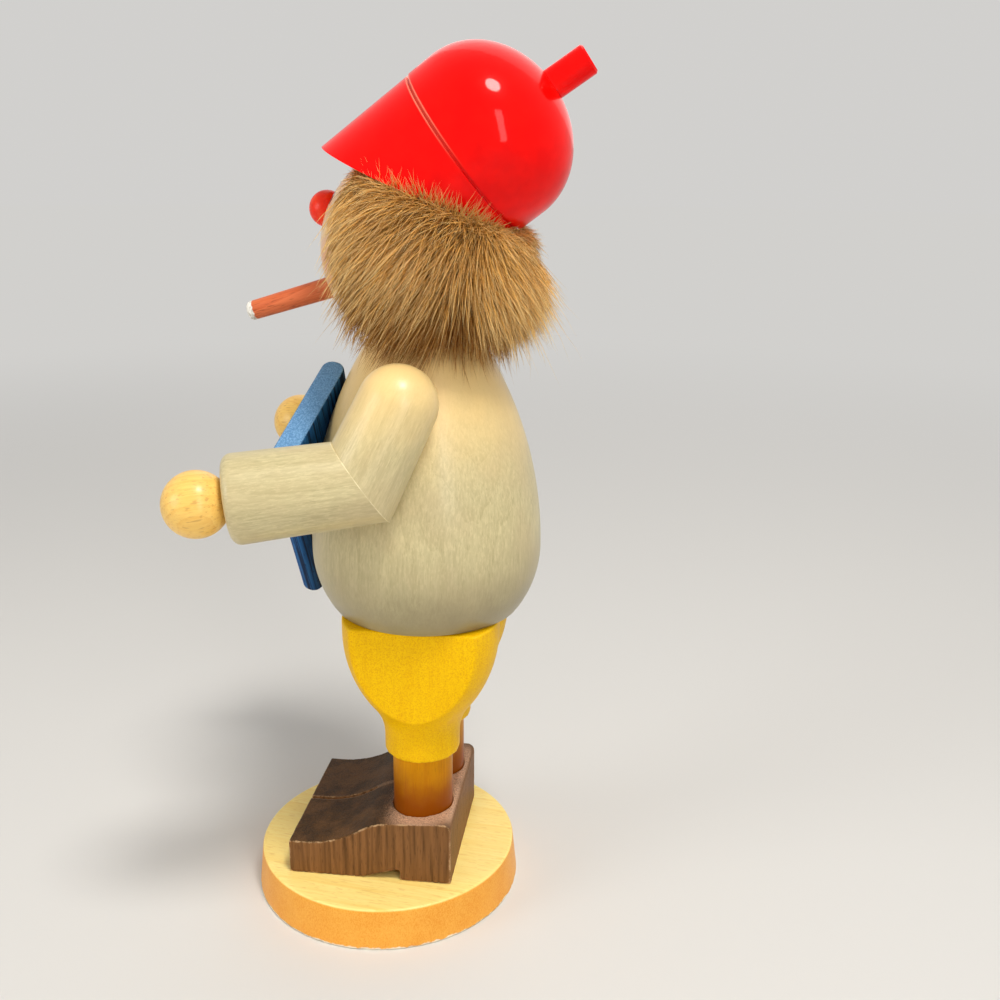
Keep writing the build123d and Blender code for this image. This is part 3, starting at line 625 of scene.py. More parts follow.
def grey_wash(name, grain, start_mm, warm_mm, mitre=None):
    """Grey-beige wash with painted shade low down and a warm tint, partly painted light, between two
    heights; a mitre is its cut's point and way.
    """
    finish = Finish(name)
    place_mm = finish.along()
    spot = finish.along(grain=grain, start_mm=start_mm)
    colour, height = wood(
        spot, paint(206, 193, 147), paint(183, 170, 124), paint(160, 146, 104),
        ring_mm=3.6, ring_share=0.35, fibre_share=0.6, pore_share=0.3,
    )
    fleck = mottle(spot * Vector((1, 1, 0.24)), per_mm=1.7, detail=3.0, rough=0.72).step(0.44, 0.68)
    colour = blend(fleck * 0.42, colour, paint(230, 216, 168))
    cloud = mottle(place_mm, per_mm=0.07).step(0.4, 0.7)
    colour = blend(cloud * 0.35, colour, paint(198, 176, 134))
    rise = place_mm.parts()[2] + mottle(place_mm, per_mm=0.12) * 8 - 4
    # Painted shade: the colour darkens low down
    colour = blend((1 - rise.step(*shaded_mm)) * 0.9, colour, paint(138, 127, 94))
    # Warm tint between two heights: partly a thinner wash, partly painted warm light
    colour = blend(rise.step(*warm_mm) * 0.9, colour, paint(250, 214, 142))
    if mitre:
        point, way = mitre
        from_cut = finish.along(grain=way, start_mm=point).parts()[2].math("ABSOLUTE")
        glue = 0.15 + 0.6 * mottle(place_mm, per_mm=0.3).step(0.35, 0.6)
        colour = blend((1 - from_cut.step(0.06, 0.17)) * glue, colour, paint(246, 234, 194))
    finish.set(
        Base_Color=colour,
        Roughness=0.38 + fleck * 0.08,
        Specular_IOR_Level=0.35,
        Coat_Weight=0.35,
        Coat_Roughness=0.28,
    )
    finish.relief(height + fleck * 0.3, depth_mm=0.03, strength=0.6)
    return finish


torso_start = Vector((torso_axis_mm.x + 9, torso_axis_mm.y + 3, 0))
torso_finish = grey_wash("grey_wash_torso", (0.05, 0.06, 1), torso_start, warm_mm=(120, 152))
dress("torso", torso_finish)

# The chamber bored in it has no wash: bare wood, blackened by smoke towards the duct
chamber_mouth_mm = 3.0
soot_rise_mm = (14, 44)
torso_spot = torso_finish.along(start_mm=(torso_axis_mm.x, torso_axis_mm.y, torso_low.z / MM))
torso_x, torso_y, torso_rise = torso_spot.parts()
facing_x, facing_y, facing_z = torso_finish.facing.parts()
inward = (facing_x * torso_x + facing_y * torso_y) * -1 / torso_spot.off_axis()
ceiling = (facing_z * -1).step(0.6, 0.8) * torso_rise.step(chamber_mouth_mm, chamber_mouth_mm + 1)
in_chamber = (inward.step(0.1, 0.4) + ceiling).math("MINIMUM", 1.0)
soot_patch = mottle(torso_finish.along(), per_mm=0.25, detail=3.0, rough=0.6)
chamber_wood = blend(soot_patch.step(0.35, 0.65), paint(206, 166, 112), paint(150, 108, 64))
soot_depth = (torso_rise + soot_patch * 24).step(*soot_rise_mm) * 0.9
sooty = blend(soot_depth, chamber_wood, paint(44, 34, 26))
washed = Wire(torso_finish.tree, torso_finish.shader.inputs["Base Color"].links[0].from_socket)
torso_finish.set(Base_Color=blend(in_chamber, washed, sooty))

# Arms
# Each arm is one tapered dowel, sawn on the mitre at the elbow, turned half round and glued again.
# The grain follows the dowel, so it bends with the arm, and the glued cut shows as a fine pale line.
shoulder_mm = Vector((27.8, 11.0, 145.0))
elbow_mm = Vector((32.0, 2.65, 127.1))
hand_radius_mm = 8.0
for side, sign in (("left", 1), ("right", -1)):
    mirror = Vector((sign, 1, 1))
    hand_low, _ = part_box(f"hand_{side}")
    shoulder = shoulder_mm * mirror
    elbow = elbow_mm * mirror
    hand_mm = hand_low / MM + Vector((0, hand_radius_mm, hand_radius_mm))
    hand_mm.x = middle_mm(f"hand_{side}").x
    upper_grain = shoulder - elbow
    fore_grain = hand_mm - elbow
    upper_start = elbow + Vector((sign * 6, 12, -4))
    fore_start = elbow + Vector((-sign * 14, 0, 12))
    mitre = (elbow, upper_grain.normalized() - fore_grain.normalized())
    upper_finish = grey_wash(
        f"grey_wash_upper_{side}", upper_grain, upper_start, warm_mm=(130, 158), mitre=mitre
    )
    fore_finish = grey_wash(
        f"grey_wash_fore_{side}", fore_grain, fore_start, warm_mm=(190, 220), mitre=mitre
    )
    dress(f"upper_arm_{side}", upper_finish)
    dress(f"forearm_{side}", fore_finish)

    # Hands: clear lacquered beech balls, whose short dark rays run along the grain
    hand_finish = Finish(f"flecked_beech_{side}")
    hand_spot = hand_finish.along(grain=fore_grain, start_mm=hand_mm + Vector((sign * 20, 4, -16)))
    hand_colour, hand_height_map = wood(
        hand_spot, paint(250, 208, 114), paint(240, 186, 90), paint(220, 160, 76),
        ring_mm=2.2, ring_share=0.5, fibre_share=0.5, pore_share=0.25,
    )
    ray = mottle(hand_spot * Vector((1, 1, 0.18)), per_mm=1.9, detail=1.0).step(0.6, 0.7)
    hand_finish.set(
        Base_Color=blend(ray * 0.5, hand_colour, paint(196, 138, 72)),
        Roughness=0.36,
        Specular_IOR_Level=0.3,
        Coat_Weight=0.2,
        Coat_Roughness=0.2,
    )
    hand_finish.relief(hand_height_map - ray * 0.5, depth_mm=0.02, strength=0.6)
    dress(f"hand_{side}", hand_finish)

# Board
# A slab of softwood stained matt blue, glued and pegged before the belly. Its long edges are rounded,
# its ends sawn square. Grain shows as dark streaks on it, and the ends drank the stain in specks.
board_turn = radians(9.0)
board_lean = radians(12.4)
board_slant = radians(37.8)


def way_out(turn, rise):
    """Direction by its turn from straight ahead to the left arm and its rise above level, in radians."""
    return Vector((sin(turn) * cos(rise), -cos(turn) * cos(rise), sin(rise)))


board_out = way_out(-board_turn, board_lean)
board_side = Vector((cos(board_turn), -sin(board_turn), 0))
board_up = board_out.cross(board_side)
board_short = board_side * cos(board_slant) - board_up * sin(board_slant)
board_grain = board_out.cross(board_short)
board_middle = middle_mm("blue_board")
board_width = 35.7
board_length = 61.3
board_thick = 6.0
board_nose = 2.7
board_nose_steps = 9
board_flat_shares = (0.02, 0.5, 0.98)
board_arris = 0.5
board_arris_steps = 4
board_stations = 20


def board_section(inset):
    """Outline across the grain, as (along the width, through the board), drawn in by an inset."""
    rounds = []
    for corner, (side, face) in enumerate(((1, 1), (-1, 1), (-1, -1), (1, -1))):
        middle = Vector((side * (board_width / 2 - board_nose), face * (board_thick / 2 - board_nose)))
        for step in range(board_nose_steps):
            angle = radians(90 * (corner + step / (board_nose_steps - 1)))
            rounds.append(middle + Vector((cos(angle), sin(angle))) * (board_nose - inset))
    outline = []
    for index, point in enumerate(rounds):
        outline.append(point)
        if index % board_nose_steps == board_nose_steps - 1:
            after = rounds[(index + 1) % len(rounds)]
            outline.extend(point.lerp(after, share) for share in board_flat_shares)
    return outline


def bullnosed_board():
    """The board's mesh: sections along the grain, drawn in at the worn ends, and two end faces."""
    bends = [radians(90 * step / (board_arris_steps - 1)) for step in range(board_arris_steps)]
    arris = [(board_arris * (1 - cos(bend)), board_arris * (1 - sin(bend))) for bend in bends]
    half = board_length / 2
    run = [(half - board_arris) * (2 * step / board_stations - 1) for step in range(1, board_stations)]
    rings = [(depth - half, inset) for depth, inset in arris] + [(place, 0) for place in run]
    rings += [(half - depth, inset) for depth, inset in reversed(arris)]
    shape = bmesh.new()
    before = None
    for place, inset in rings:
        spots = (
            board_middle + board_grain * place + board_short * across + board_out * through
            for across, through in board_section(inset)
        )
        ring = [shape.verts.new(spot * MM) for spot in spots]
        for index in range(len(ring) if before else 0):
            after = (index + 1) % len(ring)
            shape.faces.new((before[index], before[after], ring[after], ring[index])).smooth = True
        if before is None:
            shape.faces.new(ring)
        before = ring
    shape.faces.new(before)
    bmesh.ops.recalc_face_normals(shape, faces=shape.faces)
    mesh = bpy.data.meshes.new("blue_board_rounded")
    shape.to_mesh(mesh)
    shape.free()
    return mesh


board_finish = Finish("blue_stain")
board_spot = board_finish.along(grain=board_grain, start_mm=board_middle + board_out * 30)
board_colour, board_height_map = wood(
    board_spot, paint(38, 104, 168), paint(8, 54, 106), paint(5, 30, 60),
    ring_mm=1.35, ring_share=0.9, fibre_share=0.5, pore_share=0.5,
)
board_streak = mottle(board_spot * Vector((1, 1, 0.02)), per_mm=0.95, rough=0.6).step(0.48, 0.6)
board_colour = blend(board_streak * 0.85, board_colour, paint(2, 22, 48))
board_end = board_finish.facing.node(
    "ShaderNodeVectorMath",
    {"operation": "DOT_PRODUCT"},
    {0: board_finish.facing, 1: board_grain},
    out=1,
)
# The end faces are paler than the sides: end grain that took the stain in specks, and partly painted light
end_share = board_end.math("ABSOLUTE").step(0.6, 0.9)
end_speck = mottle(board_finish.along(), per_mm=2.2, detail=3.0, rough=0.7)
end_colour = blend(end_speck.step(0.35, 0.7), paint(90, 138, 186), paint(130, 178, 222))
board_finish.set(
    Base_Color=blend(end_share, board_colour, end_colour),
    Roughness=0.58 + end_speck * 0.1,
    Specular_IOR_Level=0.15,
)
board_finish.relief(board_height_map + end_speck * end_share, depth_mm=0.07, strength=0.8)
board_piece = new_piece("blue_board_rounded", bullnosed_board(), board_finish.material)
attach(board_piece, "figure")
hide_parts("blue_board")

# Head
# A turned ball of pale wood under clear lacquer, glued on the neck tube, with the mouth bored in it.
# The face is only painted: dark eyes with a light point, thin brows, a breath of red on the cheeks.
head_radius = 25.2
head_flat_radius = 11.4
head_low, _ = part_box("head")
head_rise = head_low.z / MM + sqrt(head_radius**2 - head_flat_radius**2)
head_mm = Vector((0, middle_mm("head").y, head_rise))
head_finish = Finish("face_paint")
head_spot = head_finish.along(start_mm=head_mm)
head_grain = head_finish.along(grain=(0, 0.2, 1), start_mm=head_mm + Vector((8, 30, 0)))
head_colour, head_height_map = wood(
    head_grain, paint(242, 212, 168), paint(228, 190, 140), paint(196, 150, 98),
    ring_mm=2.6, ring_share=0.4, fibre_share=0.5, pore_share=0.35,
)


def face_spot(turn, rise, radius_mm, soft_mm):
    """Mask of a round painted spot on the face, by its turn and rise from straight ahead in degrees."""
    middle = way_out(radians(turn), radians(rise)) * head_radius
    return 1 - (head_spot - middle).length().step(radius_mm - soft_mm, radius_mm)


face_colour = head_colour
for side in (1, -1):
    cheek = face_spot(side * 33, rise=-4, radius_mm=8.0, soft_mm=7.0)
    face_colour = blend(cheek * 0.5, face_colour, paint(232, 112, 84))
    brow = face_spot(side * 20, rise=38.5, radius_mm=2.6, soft_mm=0.35)
    below_brow = face_spot(side * 20, rise=36.2, radius_mm=3.0, soft_mm=0.35)
    face_colour = blend(brow * (1 - below_brow) * 0.85, face_colour, paint(92, 58, 32))
    eye = face_spot(side * 19, rise=29, radius_mm=1.9, soft_mm=0.25)
    face_colour = blend(eye, face_colour, paint(30, 22, 18))
    glint = face_spot(side * 20.5, rise=31, radius_mm=0.6, soft_mm=0.2)
    face_colour = blend(glint, face_colour, paint(250, 248, 240))
head_finish.set(Base_Color=face_colour, Roughness=0.36, Coat_Weight=0.3, Coat_Roughness=0.18)
head_finish.relief(head_height_map, depth_mm=0.02, strength=0.6)
dress("head", head_finish)

# Nose
# A small ball turned with its peg, dipped in satin red paint that is a little uneven.
nose_finish = Finish("red_nose_paint")
nose_mm = nose_finish.along()
nose_cloud = mottle(nose_mm, per_mm=0.35, detail=3.0)
nose_skin = mottle(nose_mm, per_mm=1.6)
nose_finish.set(
    Base_Color=blend(nose_cloud.step(0.4, 0.7), paint(248, 44, 12), paint(255, 70, 26)),
    Roughness=0.36 + nose_skin * 0.08,
    Specular_IOR_Level=0.2,
    Coat_Weight=0.15,
    Coat_Roughness=0.2,
)
nose_finish.relief(nose_skin, depth_mm=0.02, strength=0.5)
dress("nose", nose_finish)

# Cigar
# A slim stick stained red-brown, with an ash tip of white paint; the bore is black with soot.
cigar_way = way_out(0, radians(-17.0))
cigar_tip_half_mm = 2.2
ash_start_mm = (-1.9, -1.5)
bore_edge_mm = (1.05, 1.25)
cigar_low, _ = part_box("cigar")
cigar_tip_mm = Vector((0, cigar_low.y / MM, cigar_low.z / MM + cigar_tip_half_mm))
cigar_finish = Finish("cigar_stain")
cigar_mm = cigar_finish.along()
cigar_spot = cigar_finish.along(grain=cigar_way, start_mm=cigar_tip_mm)
cigar_colour, cigar_height_map = wood(
    cigar_spot, paint(220, 118, 72), paint(194, 88, 46), paint(140, 58, 28),
    ring_mm=1.3, ring_share=0.5, fibre_share=0.6, pore_share=0.5,
)
from_tip = cigar_spot.parts()[2]
ash = (from_tip + mottle(cigar_mm, per_mm=0.9)).step(*ash_start_mm)
ash_tone = mottle(cigar_mm, per_mm=1.6, detail=3.0).step(0.4, 0.7)
ash_colour = blend(ash_tone, paint(240, 238, 230), paint(206, 202, 192))
bore = 1 - cigar_spot.off_axis().step(*bore_edge_mm)
cigar_finish.set(
    Base_Color=blend(bore, blend(ash, cigar_colour, ash_colour), paint(24, 18, 14)),
    Roughness=0.42 + ash * 0.2,
    Specular_IOR_Level=0.25,
    Coat_Weight=0.08,
    Coat_Roughness=0.25,
)
cigar_finish.relief(cigar_height_map, depth_mm=0.05, strength=0.8)
dress("cigar", cigar_finish)

# Cap and stem
# Cap and visor are turned in one, with a fine groove between them, and sawn off on the slant.
# Several coats of gloss red lacquer lie on it, rippled a little; the stem is glued in its top.
dome_mm = Vector((0, 28.4, 205.15))
cap_way = Vector((0, cos(radians(37.0)), sin(radians(37.0))))
stem_way = Vector((0, cos(radians(34.0)), sin(radians(34.0))))
seam_mm = -7.0
seam_half_width_mm = 0.8
seam_lit_mm = (196, 214)
for node, grain in (("cap", cap_way), ("cap_stem", stem_way)):
    cap_finish = Finish(f"red_lacquer_{node}")
    cap_mm = cap_finish.along()
    cap_spot = cap_finish.along(grain=grain, start_mm=dome_mm)
    ripple = mottle(cap_mm, per_mm=0.22)
    fibre = mottle(cap_spot * Vector((1, 1, 0.06)), per_mm=1.2, detail=3.0)
    # Painted highlight: a pale line along the seam groove, brighter higher up
    from_seam = (cap_spot.parts()[2] - seam_mm).math("ABSOLUTE")
    seam_highlight = 1 - from_seam.step(seam_half_width_mm * 0.6, seam_half_width_mm)
    seam_lit_share = cap_mm.parts()[2].step(*seam_lit_mm) * 0.7
    lacquer = blend(ripple.step(0.3, 0.7), paint(240, 2, 0), paint(250, 8, 2))
    cap_finish.set(
        Base_Color=blend(seam_highlight * seam_lit_share, lacquer, paint(255, 150, 122)),
        Roughness=0.26 + fibre * 0.06,
        Specular_IOR_Level=0.02,
        Coat_Weight=0.5,
        Coat_IOR=1.32,
        Coat_Roughness=0.05,
    )
    cap_finish.relief(ripple + fibre * 0.12, depth_mm=0.05, strength=0.35)
    dress(node, cap_finish)

# Fur
# A strip of real rabbit fur glued round the head under the cap: a thin hide, dense under-hair,
# longer pale guard hairs and a few stray ones. It is brushed down and forward, and parts behind the ear.
temple_edge = 43.0
cheek_edge = 56.0
ear_edge = 80.0
hide_low = -43.0
cheek_lift = 16.0
rim_tuck = 0.02
hide_columns = 120
hide_rows = 30
hide_thickness_mm = 0.5
hide_lift_mm = 0.25
seat_tilt = radians(22.5)
seat_rise_mm = 13.0
seat_out = Vector((0, sin(seat_tilt), cos(seat_tilt)))
seat_radius_mm = sqrt(head_radius**2 - seat_rise_mm**2)
shelf_rows = 4
shelf_mm = 1.9
shelf_turns = (88, 135)
rim_mm = 0.15
brush_forward = 47.0
brush_back = 16.0
parting_at_rim = 139.0
parting_below = 121.0
parting_half_width = 13.0
face_turns = (48, 84)
fringe_rows = 4
hide_values = ("lie", "reach", "sag", "tint", "wool")


def ease(value, low, high):
    """Smooth rise from 0 to 1 between two values."""
    share = min(1, max(0, (value - low) / (high - low)))
    return share * share * (3 - 2 * share)


def hide_way(turn, share):
    """Direction from the head's middle: turn from the face (degrees), share 0 at the cap to 1 below."""
    slope = sin(seat_tilt) * cos(radians(turn))
    reach = sqrt(cos(seat_tilt) ** 2 + slope**2)
    top = asin(seat_rise_mm / head_radius / reach) + atan2(slope, cos(seat_tilt))
    bottom = radians(hide_low + cheek_lift * (1 - ease(abs(turn), cheek_edge, ear_edge)))
    return way_out(radians(turn), top + (bottom - top) * share - rim_tuck)


def hide_place(turn, share):
    """A place on the hide and the way out of it; a share below 0 lies on the shelf under the cap."""
    way = hide_way(turn, max(share, 0))
    if share >= 0:
        return head_mm + way * (head_radius + hide_lift_mm), way
    flat = (way - seat_out * way.dot(seat_out)).normalized()
    inward = -share * (rim_mm + shelf_mm * ease(abs(turn), *shelf_turns))
    place = head_mm + seat_out * (seat_rise_mm + hide_lift_mm) + flat * (seat_radius_mm - inward)
    return place, (flat * 0.85 + seat_out * 0.5).normalized()


def past_parting(turn, share):
    """0 before the parting behind the ear, 1 behind it."""
    middle = parting_at_rim + (parting_below - parting_at_rim) * ease(share, 0.0, 0.5)
    return ease(abs(turn), middle - parting_half_width, middle + parting_half_width)


def near_face(turn, share):
    """1 at the strip's front edge by the temple, less below, 0 above the ear."""
    return (1 - ease(abs(turn), *face_turns)) * (1 - 0.5 * ease(share, 0.35, 0.65))


def brushed_way(turn, share, out):
    """Which way the hair lies at a place on the strip, given the way out of it."""
    around = abs(turn)
    side = 1 if turn >= 0 else -1
    down = (out * out.z - Vector((0, 0, 1))).normalized()
    forward = Vector((-cos(radians(turn)) * side, -sin(radians(turn)) * side, 0))
    behind = past_parting(turn, share)
    swept_back = behind * (1 - ease(around, 160, 180))
    by_face = near_face(turn, share)
    lean = radians(brush_forward * (1 - 0.75 * by_face) * (1 - behind) - brush_back * swept_back)
    side_lift = 0.44 - 0.2 * by_face
    back_lift = 0.4 + 0.5 * ease(share, 0.05, 0.35)
    nap = (down * cos(lean) + forward * sin(lean)) * (0.7 + 0.3 * ease(share, 0.0, 0.12))
    return (out * (side_lift + (back_lift - side_lift) * behind) + nap).normalized()


def fringe_way(turn, share, out):
    """The short hair at the rim is pushed out and up by the cap."""
    return (out * 0.85 + Vector((0, 0, 0.5 - 0.7 * past_parting(turn, 0)))).normalized()


def hair_values(turn, share):
    """Length, sag, tint and tangle of the hair at a place on the strip, as shares of a coat's own."""
    behind = past_parting(turn, share)
    by_face = near_face(turn, share)
    top = 1 - ease(share, 0.02, 0.25)
    low = ease(share, 0.4, 0.9)
    gap = 4 * behind * (1 - behind) * ease(share, 0.2, 0.5)
    reach = 1 - (0.3 + 0.25 * behind) * top + 0.18 * behind * (1 - top) - 0.34 * behind * low
    return {
        "reach": reach * (1 - 0.1 * gap) * (1 - 0.3 * by_face),
        "sag": 0.2 - 0.25 * (1 - ease(share, 0.0, 0.1)) * (1 - behind),
        # Painted shade: the hair is darker low on the strip, under the head, and in the parting gap
        "tint": 0.24 + 0.12 * behind - 0.72 * low - 0.3 * gap,
        "wool": (0.95 + 0.7 * top) * (1 - 0.5 * by_face),
    }


def hide_sheet(name, shares, lie):
    """The hide's outside as a mesh that keeps the hair's direction, length, sag, tint and tangle."""
    mesh = bpy.data.meshes.new(name)
    points = []
    stored = {label: [] for label in hide_values}
    for share in shares:
        edge = temple_edge + (cheek_edge - temple_edge) * ease(share, 0.25, 0.8)
        for column in range(hide_columns + 1):
            turn = edge + (360 - 2 * edge) * column / hide_columns
            turn = turn if turn <= 180 else turn - 360
            place, out = hide_place(turn, share)
            points.append(place * MM)
            stored["lie"].extend(lie(turn, share, out))
            for label, value in hair_values(turn, share).items():
                stored[label].append(value)
    faces = []
    for row in range(len(shares) - 1):
        for column in range(hide_columns):
            first = row * (hide_columns + 1) + column
            second = first + hide_columns + 1
            faces.append((first, second, second + 1, first + 1))
    mesh.from_pydata(points, [], faces)
    mesh.attributes.new("lie", "FLOAT_VECTOR", "POINT").data.foreach_set("vector", stored["lie"])
    for label in hide_values[1:]:
        keep_on_points(mesh, label, stored[label])
    made = bpy.data.objects.new(name, mesh)
    bpy.context.scene.collection.objects.link(made)
    return made


shelf_shares = [row / shelf_rows for row in range(-shelf_rows, 0)]
strip_shares = shelf_shares + [row / hide_rows for row in range(hide_rows + 1)]
fringe_shares = shelf_shares + [row / hide_rows for row in range(fringe_rows)]
strip_source = hide_sheet("strip_source", strip_shares, brushed_way)
fringe_source = hide_sheet("fringe_source", fringe_shares, fringe_way)
hide_solid = strip_source.modifiers.new("thickness", "SOLIDIFY")
hide_solid.thickness = hide_thickness_mm * MM
hide_solid.offset = 0
hide_mesh = finished_mesh(strip_source, "fur_hide")
strip_source.modifiers.remove(hide_solid)
hide_finish = Finish("fur_hide_skin")
hide_cloud = mottle(hide_finish.along(), per_mm=0.8, detail=4.0, rough=0.6)
hide_finish.set(
    Base_Color=blend(hide_cloud.step(0.35, 0.7), paint(66, 44, 20), paint(110, 76, 38)),
    Roughness=0.8 + hide_cloud * 0.1,
)
hide_finish.relief(hide_cloud, depth_mm=0.1, strength=0.8)
hide_piece = new_piece("fur_hide", hide_mesh, hide_finish.material)
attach(hide_piece, "figure")
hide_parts("fur_hair")

fur_finish = Finish("rabbit_fur")
fur_map = fur_finish.place.node("ShaderNodeUVMap", {"uv_map": "OFBake"})
fur_tone, fur_along, _ = fur_map.parts()
fur_body = blend(fur_tone, paint(138, 84, 22), paint(246, 188, 98))
fur_root = blend(fur_tone, paint(74, 44, 12), paint(142, 94, 38))
fur_tip = blend(fur_tone, paint(168, 112, 44), paint(252, 224, 160))
fur_low_half = blend(fur_along.step(0.02, 0.45), fur_root, fur_body)
fur_finish.set(
    Base_Color=blend(fur_along.step(0.45, 0.95), fur_low_half, fur_tip),
    Roughness=0.5 - fur_tone * 0.1,
    Specular_IOR_Level=0.2,
)

strand_inputs = (
    ("Hide", "NodeSocketGeometry"),
    ("Hairs per square metre", "NodeSocketFloat"),
    ("Seed", "NodeSocketInt"),
    ("Length", "NodeSocketFloat"),
    ("Uneven length", "NodeSocketFloat"),
    ("Thickness", "NodeSocketFloat"),
    ("Straying", "NodeSocketFloat"),
    ("Tufting", "NodeSocketFloat"),
    ("Points", "NodeSocketInt"),
    ("Darkest", "NodeSocketFloat"),
    ("Palest", "NodeSocketFloat"),
    ("Finish", "NodeSocketMaterial"),
)
tufts_per_square_metre = 1.6e5
tuft_seed = 5
curl_share = 0.15
wave_between_hairs = 900.0
wave_along_hair = 120.0
tip_share = 0.02
taper_power = 1.6
shoulder_clear_mm = 10.0
belly_z_mm = 101.9
belly_radius_mm = 30.2
flank_radius_mm = 100.0
hair_clear_mm = 0.35


def strand_tree():
    """Geometry nodes that grow tapered hairs from a hide along its brushed direction."""
    tree = bpy.data.node_groups.new("fur_strands", "GeometryNodeTree")
    for label, kind in strand_inputs:
        tree.interface.new_socket(label, in_out="INPUT", socket_type=kind)
    tree.interface.new_socket("Hair", in_out="OUTPUT", socket_type="NodeSocketGeometry")
    entry = tree.nodes.new("NodeGroupInput")
    given = {label: Wire(tree, entry.outputs[label]) for label, _ in strand_inputs}
    hide = given["Hide"]

    def attribute(label, kind="FLOAT"):
        return hide.node("GeometryNodeInputNamedAttribute", {"data_type": kind}, {"Name": label})

    def store(geometry, label, value, kind="FLOAT", domain="POINT"):
        settings = {"data_type": kind, "domain": domain}
        return geometry.node(
            "GeometryNodeStoreNamedAttribute", settings, {0: geometry, "Name": label, "Value": value}
        )

    def chance(low, high, kind, offset):
        inputs = {"Seed": given["Seed"] + offset}
        first = 0 if kind == "FLOAT_VECTOR" else 2
        inputs[first] = low
        inputs[first + 1] = high
        return hide.node("FunctionNodeRandomValue", {"data_type": kind}, inputs, out=first // 2)

    roots = hide.node(
        "GeometryNodeDistributePointsOnFaces",
        None,
        {"Mesh": hide, "Density": given["Hairs per square metre"], "Seed": given["Seed"]},
    )
    tufts = hide.node(
        "GeometryNodeDistributePointsOnFaces",
        None,
        {"Mesh": hide, "Density": tufts_per_square_metre, "Seed": tuft_seed},
    )
    place = hide.node("GeometryNodeInputPosition")
    nearest = tufts.node("GeometryNodeSampleNearest", None, {0: tufts})
    tuft_place = tufts.node(
        "GeometryNodeSampleIndex",
        {"data_type": "FLOAT_VECTOR"},
        {0: tufts, "Value": place, "Index": nearest},
    )
    tangle = given["Straying"] * attribute("wool")
    stray = chance((-1, -1, -1), (1, 1, 1), "FLOAT_VECTOR", 1) * tangle
    roots = store(roots, "root", place, "FLOAT_VECTOR")
    roots = store(roots, "aim", attribute("lie", "FLOAT_VECTOR") + stray, "FLOAT_VECTOR")
    roots = store(roots, "pull", (tuft_place - place) * given["Tufting"], "FLOAT_VECTOR")
    spread = given["Darkest"] + chance(0.0, 1.0, "FLOAT", 2) * (given["Palest"] - given["Darkest"])
    roots = store(roots, "tone", (spread + attribute("tint")).math("MAXIMUM", 0.0).math("MINIMUM", 1.0))
    uneven = 1 - chance(0.0, 1.0, "FLOAT", 3) * given["Uneven length"]
    roots = store(roots, "full", attribute("reach") * given["Length"] * uneven)

    line = hide.node("GeometryNodeCurvePrimitiveLine", None, {"End": (0, 0, 1)})
    line = line.node("GeometryNodeResampleCurve", None, {"Curve": line, "Count": given["Points"]})
    hairs = roots.node("GeometryNodeInstanceOnPoints", None, {"Points": roots, "Instance": line})
    hairs = hairs.node("GeometryNodeRealizeInstances", None, {0: hairs})
    share = hairs.node("GeometryNodeSplineParameter")
    length = attribute("full")
    run = attribute("aim", "FLOAT_VECTOR") * (share * length)
    bend = share * share * length
    wave_place = attribute("root", "FLOAT_VECTOR") * wave_between_hairs + run * wave_along_hair
    wave = mottle(wave_place, per_mm=1.0, detail=1.0)
    curl = wave.node("ShaderNodeCombineXYZ", None, {0: wave - 0.5, 1: 0.5 - wave, 2: 0.0})
    lean = run + attribute("pull", "FLOAT_VECTOR") * share + curl * (bend * curl_share)
    sag = bend.node("ShaderNodeCombineXYZ", None, {2: bend * attribute("sag") * -1})
    spot = attribute("root", "FLOAT_VECTOR") + lean + sag

    # Hair that would run into a shoulder or the neck of the jacket lies on its surface instead
    x, y, z = spot.parts()
    mirrored = spot.node("ShaderNodeCombineXYZ", None, {0: x.math("ABSOLUTE"), 1: y, 2: z})
    away = (mirrored - shoulder_mm * MM).length()
    push = (shoulder_clear_mm * MM - away).math("MAXIMUM", 0.0)
    spot = spot + spot.node("ShaderNodeCombineXYZ", None, {2: push})
    x, y, z = spot.parts()
    side_y = y - head_mm.y * MM
    radius = (x * x + side_y * side_y) ** 0.5
    height = z - belly_z_mm * MM
    flank = ((flank_radius_mm * MM) ** 2 - height * height).math("MAXIMUM", 0.0) ** 0.5
    skin = flank - (flank_radius_mm - belly_radius_mm - hair_clear_mm) * MM
    below_neck = z.math("LESS_THAN", torso_high.z)
    spread = (skin / radius.math("MAXIMUM", MM)).math("MAXIMUM", 1.0) - 1
    shove = spread * below_neck
    spot = spot + spot.node("ShaderNodeCombineXYZ", None, {0: x * shove, 1: side_y * shove, 2: 0.0})

    hairs = hairs.node("GeometryNodeSetPosition", None, {0: hairs, "Position": spot})
    hairs = store(hairs, "along", share)
    taper = given["Thickness"] * (1 + tip_share - share**taper_power)
    section = hide.node("GeometryNodeCurvePrimitiveCircle", None, {"Resolution": 3, "Radius": 1.0})
    section = store(section, "around", section.node("GeometryNodeSplineParameter"))
    tube_inputs = {"Curve": hairs, "Profile Curve": section, "Scale": taper, "Fill Caps": True}
    tubes = hairs.node("GeometryNodeCurveToMesh", None, tube_inputs)

    # Each hair stands upright in the map: its tone across, its way from root to tip upward
    across = attribute("tone") * 0.95 + attribute("around") * 0.03 + 0.01
    upward = attribute("along") * 0.96 + 0.02
    map_place = across.node("ShaderNodeCombineXYZ", None, {0: across, 1: upward})
    tubes = store(tubes, "OFBake", map_place, "FLOAT2", "CORNER")
    for label in (*hide_values, "root", "aim", "pull", "tone", "full", "along", "around"):
        tubes = tubes.node("GeometryNodeRemoveAttribute", None, {0: tubes, "Name": label})
    tubes = tubes.node("GeometryNodeRealizeInstances", None, {0: tubes})
    tubes = tubes.node("GeometryNodeSetMaterial", None, {0: tubes, "Material": given["Finish"]})
    leave = tree.nodes.new("NodeGroupOutput")
    tree.links.new(tubes.socket, leave.inputs["Hair"])
    return tree


